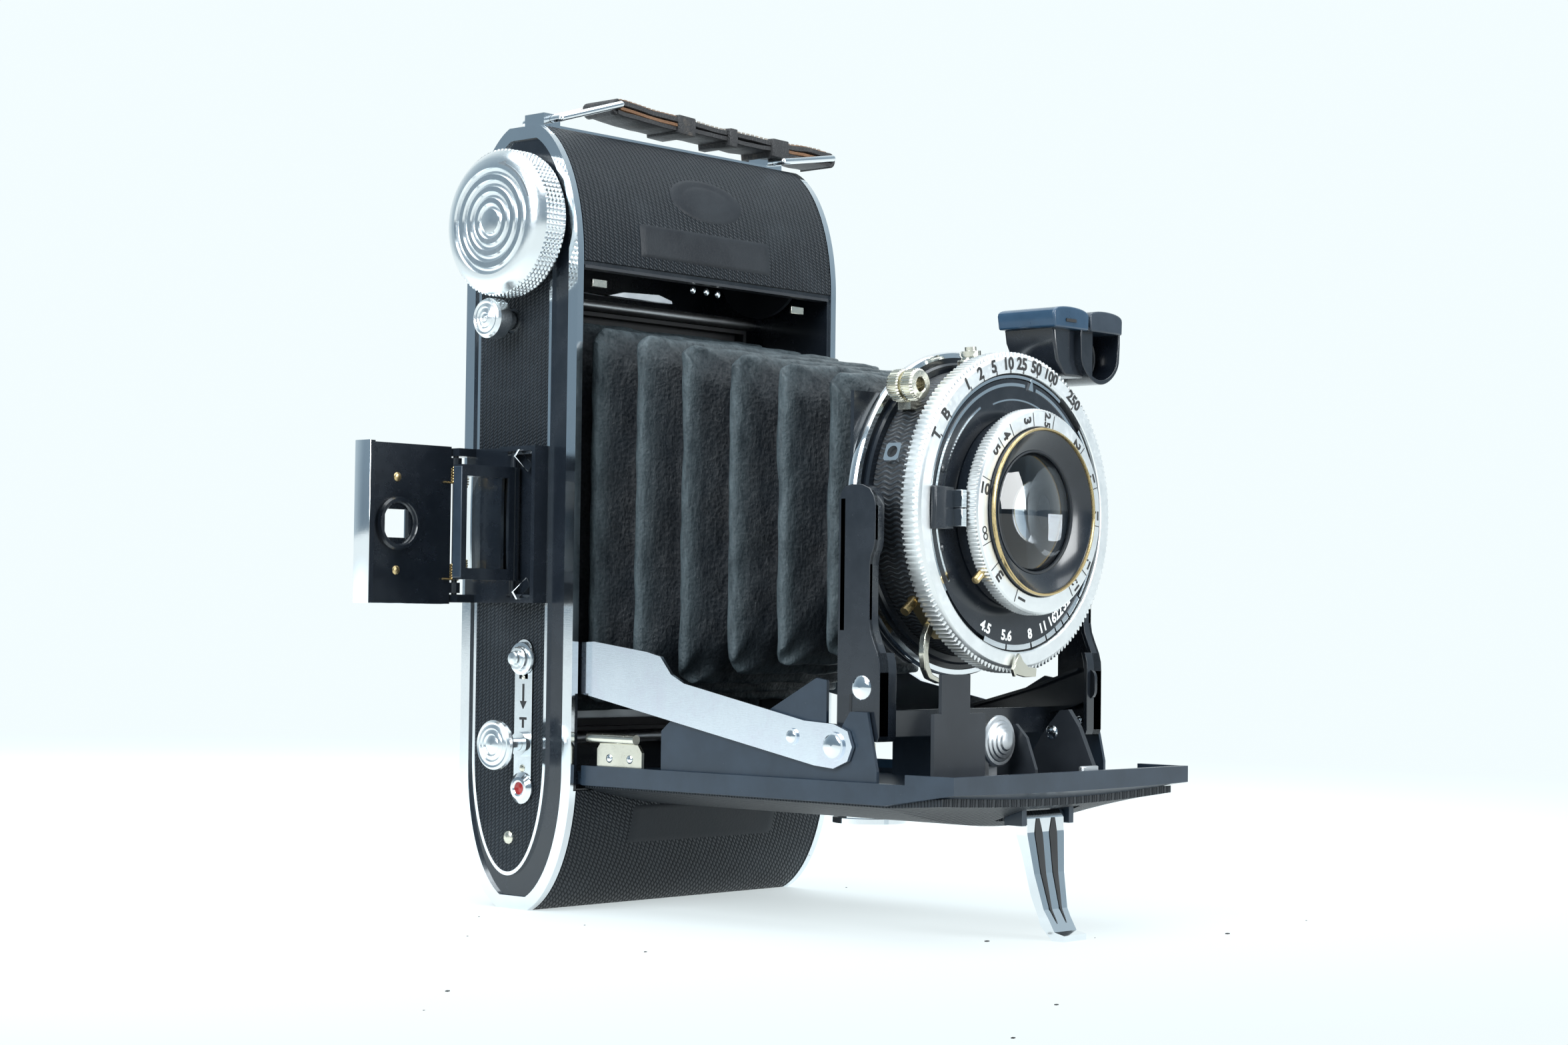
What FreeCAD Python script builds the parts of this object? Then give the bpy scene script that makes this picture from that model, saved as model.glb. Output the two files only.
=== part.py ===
import FreeCAD, Part
import Sketcher
import math
import os
from FreeCAD import Vector as V, Rotation, Placement

os.makedirs("parts", exist_ok=True)
doc = FreeCAD.newDocument("folding_camera")

# ------------------------------------------------------------------ sizes, mm
SIZES = dict(
    # body: an upright box with long rounded ends, lens side toward -Y
    half_wide=38.5, wall_out=36.9, wall_in=36.3, half_deep=16.25, high=156.0,
    end_low=28.0, end_top=128.0, end_rise=29.0,
    skin_gap=0.6, skin_in=1.8, leather_gap=0.0, plate_out=37.9, trim_wide=2.6,
    line_half=10.75, line_mid=1.75, line_rise=24.0, line_wide=0.75,
    open_low=24.4, open_top=127.3,
    # film path
    gate_x=28.0, gate_low=37.0, gate_high=119.0, gate_y=8.2, gate_thick=1.0,
    spool_r=12.3, spool_core=5.5, spool_half=32.6, spool_low=20.3, spool_high=136.0,
    # winding knob
    knob_z=136.0, knob_r=14.5, knob_x=47.4, knob_back=39.2, shaft_r=2.5,
    # bed
    hinge_y=-14.5, hinge_z=26.5, pin_r=0.7, pin_gap=0.05, barrel_r=1.3,
    bed_half=36.0, bed_rear=-16.6, bed_front=-109.5, bed_bend=-94.0,
    bed_rim=29.0, bed_side=25.2, bed_belly=20.6, bed_front_side=27.7, bed_front_belly=27.3,
    bed_front_rim=30.8, bed_skin=1.1, bed_leather=0.5,
    bush_y=-60.0, bush_r=6.0, bush_hole=3.175,
    foot_y=-101.0, foot_z=22.4, foot_half=5.6, foot_thick=1.5,
    # lens standard
    lens_z=78.4, arm_out=33.8, arm_in=32.8, arm_rear=-81.0, arm_front=-89.0, arm_top=82.5,
    back_r=30.6, back_y=-79.3, back_thick=1.2,
    house_r=27.0, house_front=-91.2, ring_r=29.7, ring_in=25.0, ring_front=-95.6,
    face_r=24.93, face_front=-94.8, focus_r=19.1, focus_front=-100.7, name_r=15.6, name_front=-102.0,
    glass_r=11.0, glass_y=-98.6,
    # reflex finder on the standard
    rf_left=14.0, rf_right=33.6, rf_rear=-81.0, rf_front=-94.0, rf_low=105.0, rf_top=117.0,
    # folding optical finder on the side
    fin_low=60.6, fin_high=91.6, fin_front=-8.8, fin_rear=12.6, fin_x=42.2,
    cov_y=14.2, cov_x=42.6, cov_len=25.0,
    frm_y=-1.2, frm_x=40.8, frm_len=14.6, frm_low=65.0, frm_high=87.4, frm_thick=2.6,
    # back door
    door_y=8.8, door_z=6.2, door_half=36.1,
    # struts
    strut_in=35.0, strut_thick=0.8, strut_y=-7.0, strut_z=48.0,
    # side controls
    button_y=3.0, button_z=117.2, button_r=4.0,
    plate_y=-2.4, plate_low=21.0, plate_high=53.6, plate_half=2.7,
    rel_z=32.7, tee_z=49.6, eye_z=24.0,
)
dims = doc.addObject("Spreadsheet::Sheet", "Dims")
for row, (word, number) in enumerate(SIZES.items(), 1):
    dims.set("A%d" % row, word)
    dims.set("B%d" % row, str(number))
    dims.setAlias("B%d" % row, word)
doc.recompute()


class Q:
    """A size that carries both its number and the sheet expression for it."""

    def __init__(self, number, text):
        self.v = float(number)
        self.e = text

    def __add__(self, o):
        o = q(o)
        return Q(self.v + o.v, "(%s + %s)" % (self.e, o.e))

    def __sub__(self, o):
        o = q(o)
        return Q(self.v - o.v, "(%s - %s)" % (self.e, o.e))

    def __mul__(self, o):
        o = q(o)
        return Q(self.v * o.v, "(%s * %s)" % (self.e, o.e))

    def __truediv__(self, o):
        o = q(o)
        return Q(self.v / o.v, "(%s / %s)" % (self.e, o.e))

    def __neg__(self):
        return Q(-self.v, "(0 - %s)" % self.e)

    def __radd__(self, o):
        return q(o) + self

    def __rsub__(self, o):
        return q(o) - self

    def __rmul__(self, o):
        return q(o) * self


def q(x):
    return x if isinstance(x, Q) else Q(x, "(%r)" % float(x))


class Sheet:
    def __getattr__(self, word):
        return Q(float(dims.get(word)), "Dims.%s" % word)


d = Sheet()
NODES = []
count = [0]


def new(kind, stem="piece"):
    count[0] += 1
    return doc.addObject(kind, "%s_%03d" % (stem, count[0]))


def bind(obj, prop, x):
    obj.setExpression(prop, q(x).e)


def put(obj, x, y, z, rot=None):
    obj.Placement = Placement(V(q(x).v, q(y).v, q(z).v), rot or Rotation())
    bind(obj, "Placement.Base.x", x)
    bind(obj, "Placement.Base.y", y)
    bind(obj, "Placement.Base.z", z)
    return obj


def box(x0, x1, y0, y1, z0, z1):
    o = new("Part::Box")
    for prop, lo, hi in (("Length", x0, x1), ("Width", y0, y1), ("Height", z0, z1)):
        setattr(o, prop, abs(q(hi).v - q(lo).v))
        bind(o, prop, q(hi) - lo)
    return put(o, x0, y0, z0)


TURN = {
    "z": Rotation(), "-z": Rotation(V(1, 0, 0), 180),
    "x": Rotation(V(0, 1, 0), 90), "-x": Rotation(V(0, 1, 0), -90),
    "-y": Rotation(V(1, 0, 0), 90), "y": Rotation(V(1, 0, 0), -90),
}


def rod(axis, x, y, z, r, length, rot=None):
    o = new("Part::Cylinder")
    o.Radius = q(r).v
    o.Height = q(length).v
    bind(o, "Radius", r)
    bind(o, "Height", length)
    return put(o, x, y, z, rot or TURN[axis])


def cone(axis, x, y, z, r0, r1, length):
    o = new("Part::Cone")
    for prop, s in (("Radius1", r0), ("Radius2", r1), ("Height", length)):
        setattr(o, prop, q(s).v)
        bind(o, prop, s)
    return put(o, x, y, z, TURN[axis])


def fuse(*parts):
    if len(parts) == 1:
        return parts[0]
    o = new("Part::MultiFuse")
    o.Shapes = list(parts)
    o.Refine = True
    return o


def cut(base, *tools):
    o = new("Part::Cut")
    o.Base = base
    o.Tool = tools[0] if len(tools) == 1 else fuse(*tools)
    o.Refine = True
    return o


def both(a, b):
    o = new("Part::MultiCommon")
    o.Shapes = [a, b]
    o.Refine = True
    return o


def group(*parts):
    o = new("Part::Compound")
    o.Links = list(parts)
    return o


def mirror(src):
    o = new("Part::Mirroring")
    o.Source = src
    o.Normal = V(1, 0, 0)
    o.Base = V(0, 0, 0)
    return o


def node(name, obj):
    obj.Label = name
    NODES.append(obj)
    return obj


def oval(inset, x0, x1):
    """Upright slab between two X positions: straight sides and long elliptical
    ends, drawn in from the body outline by the inset, with flat tips."""
    half = d.half_deep - inset
    rise = d.end_rise - inset
    bits = [box(x0, x1, -half, half, d.end_low, d.end_top)]
    for centre in (d.end_low, d.end_top):
        ring = new("Part::Ellipse")
        ring.MajorRadius = rise.v
        ring.MinorRadius = half.v
        bind(ring, "MajorRadius", rise)
        bind(ring, "MinorRadius", half)
        # local X (major) becomes Z, local Z becomes X
        put(ring, x0, 0, centre, Rotation(V(0, 0, 1), V(0, 1, 0), V(1, 0, 0), "ZXY"))
        slab = new("Part::Extrusion")
        slab.Base = ring
        slab.Dir = V(1, 0, 0)
        slab.DirMode = "Custom"
        slab.Solid = True
        slab.LengthFwd = (q(x1) - x0).v
        bind(slab, "LengthFwd", q(x1) - x0)
        bits.append(slab)
    whole = fuse(*bits)
    return both(whole, box(q(x0) - 1, q(x1) + 1, -d.half_deep, d.half_deep, q(inset), d.high - inset))


def outline(half, rise, middle, low, top, x0, x1, base):
    """Same slab for the inlay line: its own half depth, rise and middle."""
    bits = [box(x0, x1, q(middle) - half, q(middle) + half, low, top)]
    for centre in (low, top):
        ring = new("Part::Ellipse")
        ring.MajorRadius = q(rise).v
        ring.MinorRadius = q(half).v
        bind(ring, "MajorRadius", rise)
        bind(ring, "MinorRadius", half)
        put(ring, x0, middle, centre, Rotation(V(0, 0, 1), V(0, 1, 0), V(1, 0, 0), "ZXY"))
        slab = new("Part::Extrusion")
        slab.Base = ring
        slab.Dir = V(1, 0, 0)
        slab.DirMode = "Custom"
        slab.Solid = True
        slab.LengthFwd = (q(x1) - x0).v
        bind(slab, "LengthFwd", q(x1) - x0)
        bits.append(slab)
    return fuse(*bits)


def plane_of(body, role):
    for feature in body.Origin.OriginFeatures:
        if feature.Role == role:
            return feature


def sketch_on(body, role, offset, loops, circles=()):
    """A fully sized sketch: every corner is held by its two distances."""
    sk = body.newObject("Sketcher::SketchObject", "Sketch_%03d" % (count[0] + 1))
    count[0] += 1
    sk.AttachmentSupport = [(plane_of(body, role), "")]
    sk.MapMode = "FlatFace"
    sk.AttachmentOffset = Placement(V(0, 0, q(offset).v), Rotation())
    sk.setExpression("AttachmentOffset.Base.z", q(offset).e)
    n = 0
    for pts in loops:
        first = n
        m = len(pts)
        for i in range(m):
            a, b = pts[i], pts[(i + 1) % m]
            sk.addGeometry(Part.LineSegment(V(q(a[0]).v, q(a[1]).v, 0), V(q(b[0]).v, q(b[1]).v, 0)), False)
            n += 1
        for i in range(m):
            sk.addConstraint(Sketcher.Constraint("Coincident", first + i, 2, first + (i + 1) % m, 1))
        for i in range(m):
            for kind, which in (("DistanceX", 0), ("DistanceY", 1)):
                c = q(pts[i][which])
                if abs(c.v) < 1e-9:
                    sk.addConstraint(Sketcher.Constraint("PointOnObject", first + i, 1, -2 if which == 0 else -1))
                else:
                    k = sk.addConstraint(Sketcher.Constraint(kind, -1, 1, first + i, 1, c.v))
                    sk.setExpression("Constraints[%d]" % k, c.e)
    for cx, cy, r in circles:
        cx, cy, r = q(cx), q(cy), q(r)
        g = sk.addGeometry(Part.Circle(V(cx.v, cy.v, 0), V(0, 0, 1), r.v), False)
        k = sk.addConstraint(Sketcher.Constraint("Radius", g, r.v))
        sk.setExpression("Constraints[%d]" % k, r.e)
        for kind, c, axis in (("DistanceX", cx, -2), ("DistanceY", cy, -1)):
            if abs(c.v) < 1e-9:
                sk.addConstraint(Sketcher.Constraint("PointOnObject", g, 3, axis))
            else:
                k = sk.addConstraint(Sketcher.Constraint(kind, -1, 1, g, 3, c.v))
                sk.setExpression("Constraints[%d]" % k, c.e)
    return sk


def pad(role, start, length, pts, circles=(), more=()):
    """A flat piece: sketch on an origin plane of its own body, padded along the
    plane's normal (YZ: +X, XZ: -Y, XY: +Z)."""
    body = new("PartDesign::Body")
    sk = sketch_on(body, role, start, [pts] + list(more), circles)
    p = body.newObject("PartDesign::Pad", "Pad_%03d" % (count[0] + 1))
    count[0] += 1
    p.Profile = sk
    p.Length = q(length).v
    p.setExpression("Length", q(length).e)
    body.Tip = p
    return body


def turned(axis, x, y, z, pts):
    """A turned piece: half profile (radius, height) revolved about its own Z,
    then stood along the axis with the body's placement."""
    body = new("PartDesign::Body")
    sk = sketch_on(body, "XZ_Plane", 0, [pts])
    r = body.newObject("PartDesign::Revolution", "Turn_%03d" % (count[0] + 1))
    count[0] += 1
    r.Profile = sk
    r.ReferenceAxis = (sk, ["V_Axis"])
    r.Angle = 360
    body.Tip = r
    return put(body, x, y, z, TURN[axis])


def shaped(shape):
    o = new("Part::Feature")
    o.Shape = shape
    return o


# ================================================================ camera body
near = -d.wall_in
# the tube of the body with its two side walls and inner side plates
tube = cut(oval(d.skin_gap, -d.wall_out, d.wall_out), oval(d.skin_in, -d.wall_in, d.wall_in))
plates = [both(oval(d.trim_wide, -d.plate_out, d.plate_out),
               fuse(box(-d.plate_out, -d.wall_out, -20, 20, -1, d.high + 1))),
          both(oval(d.trim_wide, -d.plate_out, d.plate_out),
               fuse(box(d.wall_out, d.plate_out, -20, 20, -1, d.high + 1)))]
shell = cut(
    fuse(tube, *plates),
    box(-d.wall_in, d.wall_in, -20, -11, d.open_low, d.open_top),
    box(-d.wall_in, d.wall_in, 8.4, 20, 10, d.high + 1),
    box(-d.wall_in, d.wall_in, 6.4, 20, -1, 12),
    rod("x", -50, 0, d.knob_z, d.shaft_r + 0.05, 20),
    rod("x", -50, d.button_y, d.button_z, 2.05, 20),
    rod("x", -50, d.plate_y, d.rel_z, 1.25, 20),
    rod("x", -50, d.plate_y, d.tee_z, 1.25, 20),
    box(-50, -30, d.plate_y - 1.25, d.plate_y + 1.25, d.tee_z - 4, d.tee_z),
)
# bed hinge pin, back hinge pin, strut pins and spool pivots stand in the side walls
pins = [
    rod("x", -d.wall_in, d.hinge_y, d.hinge_z, d.pin_r, d.wall_in * 2),
    rod("x", -d.wall_in, d.door_y, d.door_z, d.pin_r, d.wall_in * 2),
    rod("-x", d.wall_in, 0, d.knob_z, 2.0, 5.5),
    rod("-x", d.wall_in, 0, d.spool_low, 2.0, 5.5),
    rod("x", -d.wall_in, 0, d.spool_low, 2.0, 5.5),
    rod("x", -d.wall_in, d.strut_y, d.strut_z, 1.0, 2.5),
    rod("-x", d.wall_in, d.strut_y, d.strut_z, 1.0, 2.5),
]
body_shell = node("body_shell", fuse(shell, *pins))

trim = cut(oval(0, -d.half_wide, -d.wall_out), oval(d.trim_wide, -d.half_wide - 1, -d.wall_out + 1))
trim = cut(trim, box(-37.6, -36, -20, -15.2, 24.0, 43.0))
node("side_trim_left", trim)
node("side_trim_right", mirror(trim))

line_low = d.line_rise + 6.5
line_top = d.high - line_low
line_l = cut(
    outline(d.line_half, d.line_rise, d.line_mid, line_low, line_top, -d.half_wide, -d.plate_out, 0),
    outline(d.line_half - d.line_wide, d.line_rise - d.line_wide, d.line_mid, line_low, line_top, -d.half_wide - 1, -d.plate_out + 1, 0),
)
node("side_lines", group(line_l, mirror(line_l)))
inlay = outline(d.line_half - d.line_wide, d.line_rise - d.line_wide, d.line_mid, line_low, line_top, -d.plate_out - 0.35, -d.plate_out, 0)
node("side_leather_right", mirror(cut(inlay, rod("x", -50, 0, d.spool_low, 2.6, 20), rod("x", -50, 0, d.knob_z, 2.6, 20))))
node("side_leather_left", cut(
    inlay,
    rod("x", -50, 0, d.knob_z, d.shaft_r + 1.5, 20),
    rod("x", -50, d.button_y, d.button_z, 2.6, 20),
    box(-50, -30, d.plate_y - d.plate_half, d.plate_y + d.plate_half, d.plate_low + 2.7, d.plate_high - 2.7),
    rod("x", -50, d.plate_y, d.plate_low + 2.7, d.plate_half, 20),
    rod("x", -50, d.plate_y, d.plate_high - 2.7, d.plate_half, 20),
))

skin = cut(oval(d.leather_gap, -36.6, 36.6), oval(d.skin_gap, -37, 37))
node("front_leather_top", both(skin, box(-40, 40, -20, -3.2, d.open_top + 0.9, d.high + 2)))
node("front_leather_bottom", both(skin, box(-40, 40, -20, 6.0, -2, d.open_low - 0.4)))
node("opening_lip", cut(fuse(box(-d.wall_in, d.wall_in, -16.0, -d.half_deep + d.skin_in, d.open_top - 0.6, d.open_top),
                             box(-d.wall_in, d.wall_in, -d.half_deep + d.skin_in, -13.3, d.open_top - 0.6, d.open_top + 6)), body_shell))

# film gate: plate with the picture window, plus the frame the bellows is clamped to
gate = fuse(
    box(-d.wall_in, d.wall_in, d.gate_y - 0.2, d.gate_y + d.gate_thick - 0.2, 33.5, 122.5),
    box(-33.5, 33.5, 5.5, d.gate_y, 34.6, 121.4),
)
gate = cut(gate, box(-d.gate_x - 4.6, d.gate_x + 4.6, 0, d.gate_y - 0.2, 35.4, 120.6),
           box(-d.gate_x - 4.0, d.gate_x + 4.0, 0, 20, d.gate_low, d.gate_high),
           box(-34.0, -32.4, 0, 6.4, 113.0, 122.0))
node("film_gate", gate)
node("film_rollers", group(rod("x", -d.wall_in, 6.4, 33.1, 1.2, d.wall_in * 2), rod("x", -d.wall_in, 6.4, 122.9, 1.2, d.wall_in * 2)))

# bellows: hollow tapering box, four sides
def frame_wire(y, hx, z0, z1):
    return Part.makePolygon([V(-hx, y, z0), V(hx, y, z0), V(hx, y, z1), V(-hx, y, z1), V(-hx, y, z0)])


zc = d.lens_z.v
out = Part.makeLoft([frame_wire(5.3, 33.0, 35.0, 121.0), frame_wire(-79.0, 26.0, zc - 27.0, zc + 25.0)], True)
inn = Part.makeLoft([frame_wire(5.4, 31.6, 36.4, 119.6), frame_wire(-79.1, 24.6, zc - 25.6, zc + 23.6)], True)
node("bellows", shaped(out.cut(inn)))

# chrome end plate under the strap, with the two strap lugs
tip = d.high - d.leather_gap
plate = fuse(
    box(-34.0, 34.0, -3.0, 3.4, tip, tip + 0.8),
    box(-35.5, -31.0, -2.6, 3.0, tip, tip + 3.0), box(31.0, 35.5, -2.6, 3.0, tip, tip + 3.0),
)
plate = cut(plate, rod("y", -33.25, -5, tip + 1.9, 0.75, 12), rod("y", 33.25, -5, tip + 1.9, 0.75, 12))
node("top_plate", plate)


loop_ends = {-1: (-16.5, 5.2), 1: (49.5, 2.8)}


def loop_wire(sign):
    """Round wire bent to a long loop: both legs in the lug, both loops fallen over to the same side."""
    zl = tip.v + 1.9
    x0 = sign * 33.25
    x1, rise = loop_ends[sign]
    hy = 5.2
    pts = [V(x0, -3.4, zl), V(x0, -hy, zl), V(x1, -hy, zl + rise), V(x1, hy, zl + rise), V(x0, hy, zl), V(x0, 3.8, zl)]
    bits = []
    for a, b in zip(pts, pts[1:]):
        bits.append(Part.makeCylinder(0.7, (b - a).Length, a, b - a))
    for p in pts[1:-1]:
        bits.append(Part.makeSphere(0.7, p))
    leg = Part.makeCylinder(0.7, 7.4, V(x0, -3.7, zl), V(0, 1, 0))
    whole = bits[0]
    for b in bits[1:]:
        whole = whole.fuse(b)
    return whole.fuse(leg).removeSplitter()


node("wire_loops", group(shaped(loop_wire(-1)), shaped(loop_wire(1))))

# carrying strap: a flat band sagging between the loops, doubled back at both ends
n = 12
top_pts, low_pts = [], []
xa, xb = loop_ends[-1][0] - 3.6, loop_ends[1][0] + 2.6
for i in range(n + 1):
    t = i / n
    x = xa + (xb - xa) * t
    mid = tip.v + 1.9 + loop_ends[-1][1] + (loop_ends[1][1] - loop_ends[-1][1]) * t - 2.2 * t * (1 - t)
    th = 1.5 + 0.5 * abs(2 * t - 1)
    top_pts.append(V(x, -4.4, mid + th))
    low_pts.append(V(x, -4.4, mid - th))
spl_top = Part.BSplineCurve()
spl_top.interpolate(top_pts)
spl_low = Part.BSplineCurve()
spl_low.interpolate(low_pts)
face = Part.Face(Part.Wire([spl_top.toShape(), Part.LineSegment(top_pts[-1], low_pts[-1]).toShape(), spl_low.toShape(),
                            Part.LineSegment(low_pts[0], top_pts[0]).toShape()]))
strap = face.extrude(V(0, 8.8, 0))
for sign in (-1, 1):
    ex, er = loop_ends[sign]
    strap = strap.cut(Part.makeCylinder(0.9, 20, V(ex, -10, tip.v + 1.9 + er), V(0, 1, 0)))
node("carry_strap", shaped(strap))

# release plate with its window and collar
rp = fuse(
    box(-38.5, -37.9, d.plate_y - d.plate_half + 0.2, d.plate_y + d.plate_half - 0.2, d.plate_low + 2.7, d.plate_high - 2.7),
    rod("-x", -37.9, d.plate_y, d.plate_low + 2.7, d.plate_half - 0.2, 0.6),
    rod("-x", -37.9, d.plate_y, d.plate_high - 2.7, d.plate_half - 0.2, 0.6),
    rod("-x", -37.9, d.plate_y, d.rel_z, 2.4, 1.8),
)
node("release_plate", cut(rp, rod("x", -50, d.plate_y, d.rel_z, 1.25, 20),
                          box(-50, -30, d.plate_y - 1.25, d.plate_y + 1.25, d.tee_z - 4, d.tee_z),
                          rod("x", -50, d.plate_y, d.tee_z, 1.25, 20)))
node("indicator_bezel", turned("-x", -38.5, d.plate_y, d.eye_z, [(0.001, 0), (3.1, 0), (3.1, 0.5), (2.2, 1.1), (1.3, 1.1), (1.2, 0.4), (0.001, 0.4)]))

# finder base: shallow channel with a front wall and hinge posts
fb = fuse(
    box(-39.3, -38.25, d.fin_front, d.fin_rear, d.fin_low, d.fin_high),
    box(-d.fin_x, -38.25, d.fin_front, d.fin_front + 1.0, d.fin_low, d.fin_high),
    box(-d.fin_x, -39.0, d.fin_front, d.frm_y + 2.6, d.fin_low, d.fin_low + 1.0),
    box(-d.fin_x, -39.0, d.fin_front, d.frm_y + 2.6, d.fin_high - 1.0, d.fin_high),
    box(-43.8, -39.0, d.fin_rear - 0.8, d.fin_rear + 2.8, d.fin_low, d.fin_low + 1.6),
    box(-43.8, -39.0, d.fin_rear - 0.8, d.fin_rear + 2.8, d.fin_high - 1.6, d.fin_high),
    box(-39.3, -38.25, d.fin_rear - 0.8, d.fin_rear + 2.0, d.fin_low, d.fin_high),
    rod("z", -d.cov_x, d.cov_y, d.fin_low + 0.6, 0.6, d.fin_high - d.fin_low - 1.2),
    rod("z", -d.frm_x, d.frm_y, d.fin_low + 0.4, 0.6, d.fin_high - d.fin_low - 0.8),
)
node("finder_base", cut(fb, trim, line_l))

# ---- pieces that move on the body
kn = [(0.001, 0.0), (12.6, 0.0), (13.6, 0.6), (14.5, 1.6), (14.5, 6.0), (13.1, 7.6), (10.2, 8.2), (8.6, 7.6), (6.6, 8.1),
      (4.6, 7.6), (2.6, 8.1), (0.001, 8.1)]
knob = turned("-x", -39.2, 0, d.knob_z, kn)
shaft = rod("x", -39.3, 0, d.knob_z, d.shaft_r, 6.4)
key = box(-34.0, -28.2, -0.7, 0.7, d.knob_z - 2.2, d.knob_z + 2.2)
node("winding_knob", fuse(knob, shaft, key))


def spool(z, keyed):
    core = fuse(
        rod("x", -d.spool_half, 0, z, d.spool_core, d.spool_half * 2),
        rod("x", -d.spool_half, 0, z, d.spool_r, 1.0), rod("-x", d.spool_half, 0, z, d.spool_r, 1.0),
    )
    cuts = [rod("-x", d.spool_half + 1, 0, z, 2.06, 5.5)]
    if keyed:
        cuts.append(rod("x", -d.spool_half - 1, 0, z, 2.56, 1.0))
        cuts.append(box(-d.spool_half - 1, -27.8, -0.8, 0.8, z - 2.3, z + 2.3))
    else:
        cuts.append(rod("x", -d.spool_half - 1, 0, z, 2.06, 5.5))
    return cut(core, *cuts)


node("takeup_spool", spool(d.spool_high, True))
node("supply_spool", spool(d.spool_low, False))

bb = turned("-x", -38.9, d.button_y, d.button_z, [(0.001, 0), (2.0, 0), (2.0, 2.6), (4.0, 2.6), (4.0, 6.0), (3.4, 6.7), (0.001, 6.7)])
stem = rod("x", -39.0, d.button_y, d.button_z, 2.0, 4.5)
bar = fuse(box(-34.9, -8.0, d.button_y - 15.5, d.button_y - 14.3, d.button_z + 5.0, d.button_z + 7.8),
           box(-34.9, -34.3, d.button_y - 15.5, d.button_y - 12.0, d.button_z + 5.0, d.button_z + 7.8),
           box(-34.9, -34.3, d.button_y - 12.0, d.button_y + 1.6, d.button_z - 1.4, d.button_z + 7.8))
node("bed_button", fuse(bb, stem, bar))

node("t_slider", fuse(
    rod("-x", -35.95, d.plate_y, d.tee_z, 1.2, 2.85),
    turned("-x", -38.65, d.plate_y, d.tee_z, [(0.001, 0), (3.3, 0), (3.3, 0.8), (2.3, 0.9), (2.3, 1.9), (1.4, 2.0), (1.4, 3.1), (0.001, 3.1)]),
    rod("-x", -35.93, d.plate_y, d.tee_z, 1.8, 0.3)))
node("release_button", fuse(
    rod("-x", -36.7, d.plate_y, d.rel_z, 1.2, 9.0),
    turned("-x", -44.9, d.plate_y, d.rel_z, [(0.001, 0), (4.6, 0), (5.0, 0.5), (5.0, 1.4), (4.3, 1.9), (0.001, 1.9)])))

cov = cut(
    fuse(box(-d.cov_x - d.cov_len, -d.cov_x - 1.6, d.cov_y - 0.5, d.cov_y + 0.5, d.fin_low - 0.3, d.fin_high + 0.3),
         box(-d.cov_x - d.cov_len, -d.cov_x - d.cov_len + 1.0, d.cov_y - 3.8, d.cov_y + 0.5, d.fin_low - 0.3, d.fin_high + 0.3),
         rod("z", -d.cov_x, d.cov_y, d.fin_low + 1.9, 1.2, 2.1), rod("z", -d.cov_x, d.cov_y, d.fin_high - 4.0, 1.2, 2.1),
         box(-d.cov_x - 1.8, -d.cov_x, d.cov_y - 0.5, d.cov_y + 0.5, d.fin_low + 1.9, d.fin_low + 4.0),
         box(-d.cov_x - 1.8, -d.cov_x, d.cov_y - 0.5, d.cov_y + 0.5, d.fin_high - 4.0, d.fin_high - 1.9)),
    rod("z", -d.cov_x, d.cov_y, d.fin_low - 2, 0.65, 40),
    box(-d.cov_x - 18.6, -d.cov_x - 12.6, d.cov_y - 5, d.cov_y + 5, 73.2, 78.8),
)
node("finder_cover", cov)
eye = cut(rod("-y", -d.cov_x - 15.6, d.cov_y - 0.5, 76.0, 5.3, 1.2), box(-d.cov_x - 18.2, -d.cov_x - 13.0, 0, 30, 73.4, 78.6))
node("finder_eyepiece", eye)

fx = -d.frm_x
frm = cut(
    fuse(box(fx - d.frm_len, fx - 0.9, d.frm_y - d.frm_thick / 2, d.frm_y + d.frm_thick / 2, d.frm_low, d.frm_high),
         rod("z", fx, d.frm_y, d.frm_low, 1.2, d.frm_high - d.frm_low),
         box(fx - 1.5, fx, d.frm_y - 1.0, d.frm_y + 1.0, d.frm_low, d.frm_high)),
    rod("z", fx, d.frm_y, 50, 0.65, 60),
    box(fx - d.frm_len + 1.2, fx - 2.4, -20, 20, d.frm_low + 2.2, d.frm_high - 2.2),
)
node("finder_frame", frm)
lens_slab = box(fx - d.frm_len + 1.2, fx - 2.4, d.frm_y - 0.9, d.frm_y + 0.9, d.frm_low + 2.2, d.frm_high - 2.2)
node("finder_lens", cut(lens_slab, rod("z", (fx - d.frm_len + 1.2 + fx - 2.4) / 2, d.frm_y - 30.4, 40, 30.0, 80)))

# ---- back door
door_skin = cut(oval(d.skin_gap, -d.door_half, d.door_half), oval(d.skin_in, -40, 40))
door = both(door_skin, box(-40, 40, d.door_y, 20, -2, d.high + 2))
barrel = rod("x", -d.door_half, d.door_y, d.door_z, 1.3, d.door_half * 2)
web = box(-d.door_half, d.door_half, d.door_y, d.door_y + 2.0, 5.0, 6.4)
win = rod("y", 0, 5, 96.0, 3.5, 20)
door = cut(fuse(door, barrel, both(web, oval(d.skin_gap, -d.door_half, d.door_half))),
           rod("x", -40, d.door_y, d.door_z, d.pin_r + d.pin_gap, 80), win)
node("back_door", door)
back_skin = cut(oval(d.leather_gap, -35.9, 35.9), oval(d.skin_gap, -37, 37))
node("back_leather", cut(both(back_skin, box(-40, 40, 9.6, 20, -2, d.high + 2)),
                         box(-6.5, 6.5, 0, 20, 88.0, 108.5), door))
node("window_glass", rod("y", 0, 14.5, 96.0, 3.45, 0.9))
node("pressure_plate", fuse(box(-31, 31, 10.0, 10.8, 34.0, 122.0),
                            box(-3, 3, 10.8, 14.45, 55.0, 58.0), box(-3, 3, 10.8, 14.45, 108.5, 111.5)))
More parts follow.
